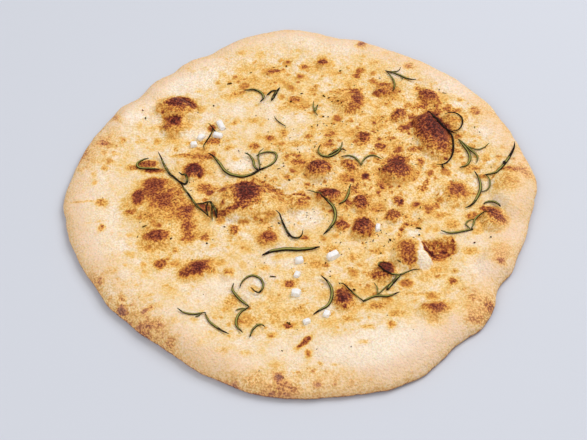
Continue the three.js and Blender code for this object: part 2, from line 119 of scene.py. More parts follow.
@dataclass(frozen=True)
class Sight:
    """The line of sight that the places in the tables were written down along."""

    eye: tuple[float, float, float] = (-4.4, -576.0, 617.0)
    plane: float = 7.0

    def along(self, x: np.ndarray, y: np.ndarray, z: Any) -> tuple[np.ndarray, np.ndarray]:
        """Find the true place at height z of what is seen at (x, y).

        Args:
            x: Seen distances to the right.
            y: Seen distances away.
            z: Heights of what is seen.

        Returns:
            The true x and y.
        """
        share = (z - self.plane) / (self.eye[2] - self.plane)
        return x + share * (self.eye[0] - x), y + share * (self.eye[1] - y)

    def seen(self, x: np.ndarray, y: np.ndarray, z: np.ndarray) -> tuple[np.ndarray, np.ndarray]:
        """Find where a true place at height z is seen.

        Args:
            x: True distances to the right.
            y: True distances away.
            z: Heights.

        Returns:
            The seen x and y.
        """
        share = (z - self.plane) / (self.eye[2] - self.plane)
        return (x - share * self.eye[0]) / (1 - share), (y - share * self.eye[1]) / (1 - share)


SIGHT = Sight()


def ripple(x: np.ndarray, y: np.ndarray, size: float, seed: float, octaves: int = 3) -> np.ndarray:
    """Smooth noise between about -1 and 1.

    Args:
        x: Places to the right.
        y: Places away.
        size: Width of its lumps.
        seed: Which of the endless patterns.
        octaves: How many finer ones are added.

    Returns:
        One value for each place.
    """
    flat_x, flat_y = np.ravel(x) / size, np.ravel(y) / size
    values = [noise.fractal((a, b, seed), 0.9, 2.1, octaves) for a, b in zip(flat_x, flat_y)]
    return np.array(values).reshape(np.shape(x))


def smooth(low: float, high: float, value: np.ndarray) -> np.ndarray:
    """Return 0 below low, 1 above high and an even S between them."""
    t = np.clip((value - low) / (high - low), 0, 1)
    return t * t * (3 - 2 * t)


def dome(share: np.ndarray, flat: float, steep: float) -> np.ndarray:
    """Return a bubble's height, 1 in its middle and 0 from its outline on."""
    return (1 - np.clip(share, 0, 1) ** flat) ** steep


def curved(a: Any, b: Any, c: Any, d: Any, t: Any) -> Any:
    """Return what lies the share t from b to c on a smooth line through four values or places."""
    return b + 0.5 * t * (c - a + t * (2 * a - 5 * b + 4 * c - d + t * (3 * (b - c) + d - a)))


def ellipse(x: np.ndarray, y: np.ndarray, centre: Place, spot: Spot) -> np.ndarray:
    """Measure how far out in a spot each place is.

    Args:
        x: Places to the right.
        y: Places away.
        centre: The spot's middle.
        spot: Its row, for its half length, half width and turn.

    Returns:
        0 in its middle and 1 on its outline.
    """
    turn = math.radians(spot[4])
    dx, dy = x - centre[0], y - centre[1]
    along = dx * math.cos(turn) + dy * math.sin(turn)
    across = dy * math.cos(turn) - dx * math.sin(turn)
    return np.hypot(along / spot[2], across / spot[3])


def stretch(x: np.ndarray, y: np.ndarray, line: Spot) -> np.ndarray:
    """Measure how far each place is from a straight stretch.

    Args:
        x: Places to the right.
        y: Places away.
        line: A row that starts with the stretch's two ends.

    Returns:
        The distances.
    """
    run_x, run_y = line[2] - line[0], line[3] - line[1]
    share = np.clip(((x - line[0]) * run_x + (y - line[1]) * run_y) / (run_x**2 + run_y**2), 0, 1)
    return np.hypot(x - line[0] - share * run_x, y - line[1] - share * run_y)


@dataclass
class Crust:
    """The form of the bread: its outline, rim, bubbles and fine relief."""

    thickness: float = 7.2
    rim_width: float = 24.0
    rim_rise: float = 1.6
    edge_roll: float = 13.0
    foot_inset: float = 3.5
    widest: float = 0.32
    swell: float = 0.7
    broad: Place = (2.4, 1.6)  # how flat the rim and the pillows are on top, and how steep at the side
    tight: Place = (2.8, 0.75)  # the same for the blisters
    torn: Place = (2.1, 0.8)  # the same for the roof of the burst blister
    wander: Place = (11.0, 1.3)  # width and size of the waver in the bubbles' outlines
    pimples: tuple[Place, ...] = ((13.0, 0.6), (5.5, 0.42), (2.2, 0.16))  # width and height of fine lumps
    ragged: Place = (0.35, 2.3)  # size and rate of the teeth of the tear
    bared: Place = (1.8, 7.5)  # width of the pale torn roof at its far end, and what it gains nearer by
    tear: tuple[Place, ...] = ((79, -72), (74.6, -66.5), (72.4, -59.5), (70.4, -51.5), (67, -46), (60, -38))
    tongue: Spot = (64, -51, 13, 13, 0, 5.2)
    tongue_tip: Spot = (70, -57, 8, 8, 0, 2.2)
    pocket: Spot = (79, -52, 11, 8, -6, 3.2)
    middle: np.ndarray = field(default_factory=lambda: np.zeros(2))

    def edge(self, angle: np.ndarray) -> np.ndarray:
        """Find the outline's radius, smooth through EDGE_RADII.

        Args:
            angle: Angles anticlockwise from the right.

        Returns:
            The radius at each.
        """
        radii = np.array(EDGE_RADII, float)
        at = (angle / (2 * np.pi)) % 1 * len(radii)
        i = np.floor(at).astype(int)
        a, b, c, d = (radii[(i + k) % len(radii)] for k in (-1, 0, 1, 2))
        return curved(a, b, c, d, at - i)

    def inward(self, x: np.ndarray, y: np.ndarray) -> np.ndarray:
        """Return how far inside the outline each place is."""
        return self.edge(np.arctan2(y, x)) - np.hypot(x, y)

    def centre(self, spot: Spot, height: float) -> Place:
        """Return the true middle of a bubble of this height that is seen at the spot's place."""
        x, y = SIGHT.along(spot[0], spot[1], self.thickness + max(height, 0.0))
        return float(x), float(y)

    def within(self, x: np.ndarray, y: np.ndarray, spot: Spot, height: float) -> np.ndarray:
        """Return how far out in a bubble of this height each true place is, 1 on its outline."""
        return ellipse(x, y, self.centre(spot, height), spot)

    def opening(self, x: np.ndarray, y: np.ndarray) -> np.ndarray:
        """Return how far right of the torn edge each true place is."""
        ys, xs = zip(*sorted((away, right) for right, away in self.tear))
        return x - np.interp(y, ys, xs) + self.ragged[0] * np.sin(y * self.ragged[1])

    def burst(self, x: np.ndarray, y: np.ndarray) -> tuple[np.ndarray, np.ndarray]:
        """Tell what the burst blister has bared.

        Args:
            x: True distances to the right.
            y: True distances away.

        Returns:
            How much each place is pale torn roof, and how much open floor.
        """
        right = self.opening(x, y)
        width = self.bared[0] + self.bared[1] * smooth(-47, -66, y)
        roof = (1 - smooth(-0.5, 0.3, right)) * smooth(-width - 1, -width + 1, right)
        roof = roof * (1 - smooth(0.85, 1.2, self.within(x, y, self.tongue, self.tongue[5])))
        floor = self.within(x, y, self.pocket, 0.0) + 0.12 * ripple(x, y, 3, 33.0, 2)
        return roof, smooth(0.1, 0.9, right) * (1 - smooth(0.75, 1.05, floor))

    def bare_top(self, x: np.ndarray, y: np.ndarray) -> np.ndarray:
        """Find the height of the top without its relief and before it rolls over the edge.

        Args:
            x: True distances to the right.
            y: True distances away.

        Returns:
            The heights.
        """
        rim = dome(np.abs(self.inward(x, y) - self.rim_width / 2) / self.rim_width, *self.broad)
        waves = np.sin(x / 31 + 1) * np.cos(y / 27) + 0.5 * np.sin((x + y) / 17)
        z = self.thickness + self.rim_rise * rim + self.swell * waves
        for spots, form in ((PILLOWS, self.broad), (BLISTERS, self.tight)):
            for spot in spots:
                z = z + spot[5] * dome(self.within(x, y, spot, spot[5]), *form)
        return z

    def top(self, x: np.ndarray, y: np.ndarray) -> np.ndarray:
        """Find the height of the top with its relief, before it rolls over the edge.

        Args:
            x: True distances to the right.
            y: True distances away.

        Returns:
            The heights.
        """
        width, size = self.wander
        z = self.bare_top(x + size * ripple(x, y, width, 3.7, 2), y + size * ripple(x, y, width, 9.1, 2))
        for k, (width, height) in enumerate(self.pimples):
            z = z + height * ripple(x, y, width, 20.3 + 7 * k, 2)
        seen_x, seen_y = SIGHT.seen(x, y, z)
        for crease in CREASES:
            z = z - crease[6] * (1 - smooth(0.0, 1.3, stretch(seen_x, seen_y, crease) / crease[4]))
        right = self.opening(x, y)
        for spot in (self.tongue, self.tongue_tip):
            roof = spot[5] * dome(self.within(x, y, spot, spot[5]), *self.torn)
            z = z + roof * (1 - smooth(-0.5, 0.5, right))
        hollow = self.pocket[5] * dome(self.within(x, y, self.pocket, 0.0), 3, 1)
        return z - hollow * smooth(-0.3, 0.9, right) * (1 + 0.45 * ripple(x, y, 3.2, 41.0, 3))

    def height(self, x: np.ndarray, y: np.ndarray) -> np.ndarray:
        """Find the height of the crust, with its rolled edge.

        Args:
            x: True distances to the right.
            y: True distances away.

        Returns:
            The heights.
        """
        inward = self.inward(x, y)
        low = self.widest * self.thickness
        lean = 1 - np.clip(inward / self.edge_roll, 0, 1)
        return np.where(inward > 0, low + (self.top(x, y) - low) * np.sqrt(1 - lean**2), low)

    def settle(self, places: Sequence[Place]) -> tuple[np.ndarray, np.ndarray, np.ndarray]:
        """Find where on the crust some seen places lie.

        Args:
            places: The places as they are seen.

        Returns:
            Their true x, y and height.
        """
        seen = np.array(places, float)
        x, y = seen[:, 0].copy(), seen[:, 1].copy()
        z = self.height(x, y)
        for _ in range(7):
            next_x, next_y = SIGHT.along(seen[:, 0], seen[:, 1], z)
            x, y = (x + next_x) / 2, (y + next_y) / 2
            z = self.height(x, y)
        return x, y, z


# ---------------------------------------------------------------- shaders


class Socket:
    """An output socket or a number, whose arithmetic adds Math nodes."""

    def __init__(self, shader: "Shader", source: Any) -> None:
        """Keep the shader that the nodes go into and the socket itself."""
        self.shader = shader
        self.source = source

    def _math(self, operation: str, *values: Any) -> "Socket":
        """Add one Math node on these values."""
        return self.shader.add("ShaderNodeMath", {"operation": operation}, dict(enumerate(values)))

    def __add__(self, other: Any) -> "Socket":
        """Add a number or another socket."""
        return self._math("ADD", self, other)

    __radd__ = __add__

    def __sub__(self, other: Any) -> "Socket":
        """Subtract a number or another socket."""
        return self._math("SUBTRACT", self, other)

    def __rsub__(self, other: Any) -> "Socket":
        """Subtract this from a number."""
        return self._math("SUBTRACT", other, self)

    def __mul__(self, other: Any) -> "Socket":
        """Multiply by a number or another socket."""
        return self._math("MULTIPLY", self, other)

    __rmul__ = __mul__

    def __truediv__(self, other: Any) -> "Socket":
        """Divide by a number or another socket."""
        return self._math("DIVIDE", self, other)

    def most(self, other: Any) -> "Socket":
        """Return the larger of this and another."""
        return self._math("MAXIMUM", self, other)

    def between(self, low: float, high: float) -> "Socket":
        """Return 0 below low, 1 above high and an even S between them."""
        sockets = {"Value": self, "From Min": low, "From Max": high}
        return self.shader.add("ShaderNodeMapRange", {"interpolation_type": "SMOOTHSTEP"}, sockets)


class Shader:
    """Builds the nodes of one material."""

    def __init__(self, name: str) -> None:
        """Start an empty material.

        Args:
            name: Its name.
        """
        self.material = bpy.data.materials.new(name)
        self.material.use_nodes = True
        self.tree = self.material.node_tree
        self.tree.nodes.clear()

    def add(self, kind: str, settings: dict[str, Any], sockets: dict[Any, Any], out: Any = 0) -> Socket:
        """Add one node.

        Args:
            kind: The node's type.
            settings: Its own settings; stops are a colour ramp's places and colours.
            sockets: Values or links of its inputs, by name or number.
            out: The output that is wanted, by name or number.

        Returns:
            That output.
        """
        node = self.tree.nodes.new(kind)
        for name, value in settings.items():
            if name == "stops":
                self._set_stops(node.color_ramp, value)
            else:
                setattr(node, name, value)
        for name, value in sockets.items():
            target = node.inputs[name]
            if isinstance(value, Socket):
                self.tree.links.new(value.source, target)
            else:
                target.default_value = value
        return Socket(self, node.outputs[out])

    @staticmethod
    def _set_stops(ramp: Any, stops: Sequence[tuple[float, tuple[float, ...]]]) -> None:
        """Give a colour ramp its stops.

        Args:
            ramp: The ramp.
            stops: Each stop's place and colour.
        """
        while len(ramp.elements) < len(stops):
            ramp.elements.new(0.5)
        for element, (place, colour) in zip(ramp.elements, stops):
            element.position = place
            element.color = colour

    def attribute(self, name: str) -> Socket:
        """Read a number that the mesh carries."""
        return self.add("ShaderNodeAttribute", {"attribute_name": name}, {}, "Fac")

    def place(self) -> Socket:
        """Read the place on the object."""
        return self.add("ShaderNodeTexCoord", {}, {}, "Object")

    def noise(self, size: float, detail: float = 2.0, rough: float = 0.5) -> Socket:
        """Add noise whose lumps are so many millimetres wide."""
        values = {"Vector": self.place(), "Scale": 1 / (size * MM), "Detail": detail, "Roughness": rough}
        return self.add("ShaderNodeTexNoise", {}, values)

    def mix(self, share: Any, first: Any, second: Any, blend: str = "MIX") -> Socket:
        """Mix two colours in one of the ways of the Mix node."""
        settings = {"data_type": "RGBA", "blend_type": blend, "clamp_factor": True}
        return self.add("ShaderNodeMix", settings, {0: share, 6: first, 7: second}, 2)

    def finish(self, **sockets: Any) -> bpy.types.Material:
        """Close the material with one Principled shader.

        Args:
            sockets: The shader's inputs, with underscores for the spaces in their names.

        Returns:
            The material.
        """
        named = {name.replace("_", " "): value for name, value in sockets.items()}
        surface = self.add("ShaderNodeBsdfPrincipled", {}, named)
        output = self.tree.nodes.new("ShaderNodeOutputMaterial")
        self.tree.links.new(surface.source, output.inputs["Surface"])
        return self.material


def rgb(red: float, green: float, blue: float) -> tuple[float, float, float, float]:
    """Turn a colour as it is seen into the linear colour of a shader.

    Args:
        red: How red it is, of 255.
        green: How green.
        blue: How blue.

    Returns:
        The linear colour, with an alpha of 1.
    """
    values = []
    for value in (red, green, blue):
        c = value / 255
        values.append(c / 12.92 if c <= 0.04045 else ((c + 0.055) / 1.055) ** 2.4)
    return (values[0], values[1], values[2], 1.0)


@dataclass(frozen=True)
class CrustFinish:
    """The look of baked dough on one scale of browning, from floury white to charred."""

    browning: tuple[tuple[float, tuple[float, ...]], ...] = (
        (0.0, rgb(253, 240, 222)), (0.12, rgb(246, 223, 192)), (0.25, rgb(243, 209, 146)),
        (0.38, rgb(236, 186, 100)), (0.5, rgb(216, 154, 70)), (0.62, rgb(188, 114, 54)),
        (0.75, rgb(146, 72, 44)), (0.87, rgb(113, 44, 32)), (1.0, rgb(76, 24, 18)),
    )
    flour: tuple[float, ...] = rgb(236, 200, 170)
    roughness_dry: float = 0.68
    roughness_oiled: float = 0.44
    gloss: float = 0.15
    bump_depth: float = 0.9
    scatter: float = 0.2
    scatter_depth: float = 3.0
    raw_tone: float = 0.135
    speck_tone: float = 1.01
    large_freckles: Place = (10.5, 0.42)  # millimetres from one to the next, and the widest's share of that
    small_freckles: Place = (5.8, 0.36)

    def material(self) -> bpy.types.Material:
        """Build the crust's material from the attributes toast, gold, dust and pale; toast also carries
        painted shade and painted highlights, gold carries painted warm light on the blisters, and pale
        carries painted highlights.

        Returns:
            The material.
        """
        s = Shader("baked_crust")
        toast_and_shading, gold, dust, pale = (s.attribute(name) for name in ("toast_and_shading", "gold", "dust", "pale"))
        broad, lumps, fine = s.noise(15.0, 2, 0.5), s.noise(6.0, 2, 0.5), s.noise(2.4, 3, 0.6)
        grain = s.noise(1.2, 1, 0.6)
        grit = grain.between(0.36, 0.64) - 0.5
        small = self._freckles(s, *self.small_freckles) * 0.8
        freckles = self._freckles(s, *self.large_freckles).most(small)
        untoasted = 1 - toast_and_shading
        border = toast_and_shading * untoasted * 4

        # the tone on the scale of browning, from the painted parts down to the grain
        base = gold * 0.2 * (1 - pale) + self.raw_tone - pale * 0.13
        tone = base + toast_and_shading * (1 - base)
        tone = tone + freckles * (gold * 0.46 + 0.05) * untoasted * (1 - pale * 0.8)
        mottle = (broad - 0.5) * 0.7 + (lumps - 0.5) * 0.45
        tone = tone + mottle * (gold + 0.3) * (1 - pale * 0.6) * untoasted
        tone = tone + (fine - 0.5) * (gold * 0.25 + border * 0.35 + 0.14)
        tone = tone - grit * (toast_and_shading * 0.1 + border * 0.1 + gold * 0.1 + 0.07)
        baked = s.add("ShaderNodeValToRGB", {"stops": self.browning}, {"Fac": tone})

        floury = dust * untoasted * (1 - gold * 0.6) * (0.5 + grit * 0.3)
        speck = self.speck_tone + grit * (toast_and_shading * 0.3 + gold * 0.14 + 0.08)
        shade = s.add("ShaderNodeCombineColor", {}, {0: speck, 1: speck, 2: speck})
        relief = fine * 0.6 + grain * 0.7 + freckles * 0.3
        height = {"Strength": 1.0, "Distance": self.bump_depth * MM, "Height": relief}
        wet = (gold * (0.5 + lumps)).between(0.1, 1.0)
        return s.finish(
            Base_Color=s.mix(1.0, s.mix(floury, baked, self.flour), shade, "MULTIPLY"),
            Roughness=self.roughness_dry + wet * (self.roughness_oiled - self.roughness_dry),
            Normal=s.add("ShaderNodeBump", {}, height, "Normal"),
            Specular_IOR_Level=self.gloss,
            Subsurface_Weight=self.scatter,
            Subsurface_Radius=(1.0, 0.5, 0.22),
            Subsurface_Scale=self.scatter_depth * MM,
        )

    @staticmethod
    def _freckles(s: Shader, size: float, reach: float) -> Socket:
        """Strew soft round freckles of uneven width.

        Args:
            s: The shader that they go into.
            size: Millimetres from one to the next.
            reach: The width of the widest, as a share of that.

        Returns:
            1 in their middles and 0 between them.
        """
        wide = 4 * MM
        lumps = {"Vector": s.place(), "Scale": 1 / wide, "Detail": 2.0}
        moved = {0: s.add("ShaderNodeTexNoise", {}, lumps, "Color"), 1: (wide,) * 3, 2: s.place()}
        bent = s.add("ShaderNodeVectorMath", {"operation": "MULTIPLY_ADD"}, moved)
        cells = {"Vector": bent, "Scale": 1 / (size * MM)}
        width = s.add("ShaderNodeTexVoronoi", {}, cells, "Color") * reach + 0.1
        return 1 - (s.add("ShaderNodeTexVoronoi", {}, cells, "Distance") / width).between(0.3, 1.0)


@dataclass(frozen=True)
class LeafFinish:
    """The look of a roasted rosemary leaf, green to scorched black, with dark rolled margins that also carry
    painted shade, and a painted highlight along its middle.
    """

    fresh: tuple[float, ...] = rgb(108, 104, 32)
    dull: tuple[float, ...] = rgb(54, 42, 12)
    # the colour of the painted highlight along the middle of the leaf
    lit_stripe: tuple[float, ...] = rgb(176, 172, 92)
    scorched: tuple[float, ...] = rgb(30, 17, 10)
    roughness: float = 0.55
    gloss: float = 0.12
    bump_depth: float = 0.1

    def material(self) -> bpy.types.Material:
        """Build the leaf's material from the attributes char, along and across.

        Returns:
            The material.
        """
        s = Shader("roasted_leaf")
        char, along, across = (s.attribute(name) for name in ("char", "along", "across"))
        patch, fibre = s.noise(4.5, 2), s.noise(0.6, 2, 0.6)
        outward = across * across
        middle = (along * (1 - along) * 4).between(0.05, 0.7)
        burnt = (char + (patch - 0.5) * 1.1 + (1 - middle) * 0.5).between(0.3, 0.85)
        # Painted shade, partly: the rolled margins are darkened towards scorched.
        margin_and_shade = outward.between(0.12, 0.5)
        # Painted highlight: a light stripe along the middle of the leaf, away from its ends.
        lit = (1 - outward.between(0.02, 0.34)) * (0.3 + fibre * 0.85) * middle
        green = s.mix(lit, s.mix(patch.between(0.35, 0.65), self.fresh, self.dull), self.lit_stripe)
        height = {"Strength": 0.4, "Distance": self.bump_depth * MM, "Height": fibre}
        return s.finish(
            Base_Color=s.mix((burnt + margin_and_shade * 0.85).between(0.0, 1.0), green, self.scorched),
            Roughness=self.roughness + burnt * 0.15,
            Normal=s.add("ShaderNodeBump", {}, height, "Normal"),
            Specular_IOR_Level=self.gloss,
        )


@dataclass(frozen=True)
class SaltFinish:
    """The look of a moist grain of coarse salt."""

    white: tuple[float, ...] = rgb(250, 252, 254)
    milky: tuple[float, ...] = rgb(240, 240, 240)
    roughness: float = 0.28
    bump_depth: float = 0.2
    scatter_depth: float = 1.5

    def material(self) -> bpy.types.Material:
        """Build the salt's material.

        Returns:
            The material.
        """
        s = Shader("coarse_salt")
        cloud = s.noise(1.6, 2)
        height = {"Strength": 0.3, "Distance": self.bump_depth * MM, "Height": cloud}
        return s.finish(
            Base_Color=s.mix(cloud.between(0.3, 0.7), self.white, self.milky),
            Roughness=self.roughness + cloud * 0.2,
            Normal=s.add("ShaderNodeBump", {}, height, "Normal"),
            Specular_IOR_Level=0.5,
            Subsurface_Weight=0.5,
            Subsurface_Radius=(1.0, 0.9, 0.8),
            Subsurface_Scale=self.scatter_depth * MM,
        )


@dataclass(frozen=True)
class FleckFinish:
    """The look of crushed pepper or dried herb."""

    name: str
    light: tuple[float, ...]
    dark: tuple[float, ...]
    roughness: float = 0.8
    gloss: float = 0.04

    def material(self) -> bpy.types.Material:
        """Build the fleck's material.

        Returns:
            The material.
        """
        s = Shader(self.name)
        colour = s.mix(s.noise(1.1, 2).between(0.35, 0.65), self.light, self.dark)
        return s.finish(Base_Color=colour, Roughness=self.roughness, Specular_IOR_Level=self.gloss)


# ---------------------------------------------------------------- making and finishing pieces


def wake(piece: bpy.types.Object) -> None:
    """Select one piece alone and make it active.

    Args:
        piece: The piece.
    """
    bpy.ops.object.select_all(action="DESELECT")
    piece.select_set(True)
    bpy.context.view_layer.objects.active = piece


def carry(piece: bpy.types.Object, name: str, values: np.ndarray) -> None:
    """Store one number for each vertex under a name that shaders read."""
    layer = piece.data.attributes.new(name, "FLOAT", "POINT")
    layer.data.foreach_set("value", np.asarray(values, np.float32))


def places(piece: bpy.types.Object) -> np.ndarray:
    """Read a piece's vertices.

    Args:
        piece: The piece.

    Returns:
        Rows of x, y and z.
    """
    flat = np.empty(3 * len(piece.data.vertices), np.float32)
    piece.data.vertices.foreach_get("co", flat)
    return flat.reshape(-1, 3).astype(float)


def place(piece: bpy.types.Object, rows: np.ndarray) -> None:
    """Move the piece's vertices to these rows of x, y and z."""
    piece.data.vertices.foreach_set("co", np.asarray(rows, np.float32).ravel())
    piece.data.update()


def settle_in(
    piece: bpy.types.Object, material: bpy.types.Material, nodes: Sequence[str] = ()
) -> None:
    """Dress a finished piece and tie it to the part.

    Args:
        piece: The piece.
        material: Its finish.
        nodes: The solids that it replaces.
    """
    piece.data.materials.clear()
    piece.data.materials.append(material)
    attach(piece, "root")
    if nodes:
        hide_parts(*nodes)
    count = sum(len(face.vertices) - 2 for face in piece.data.polygons)
    LOG.info("%s: %d triangles", piece.name, count)
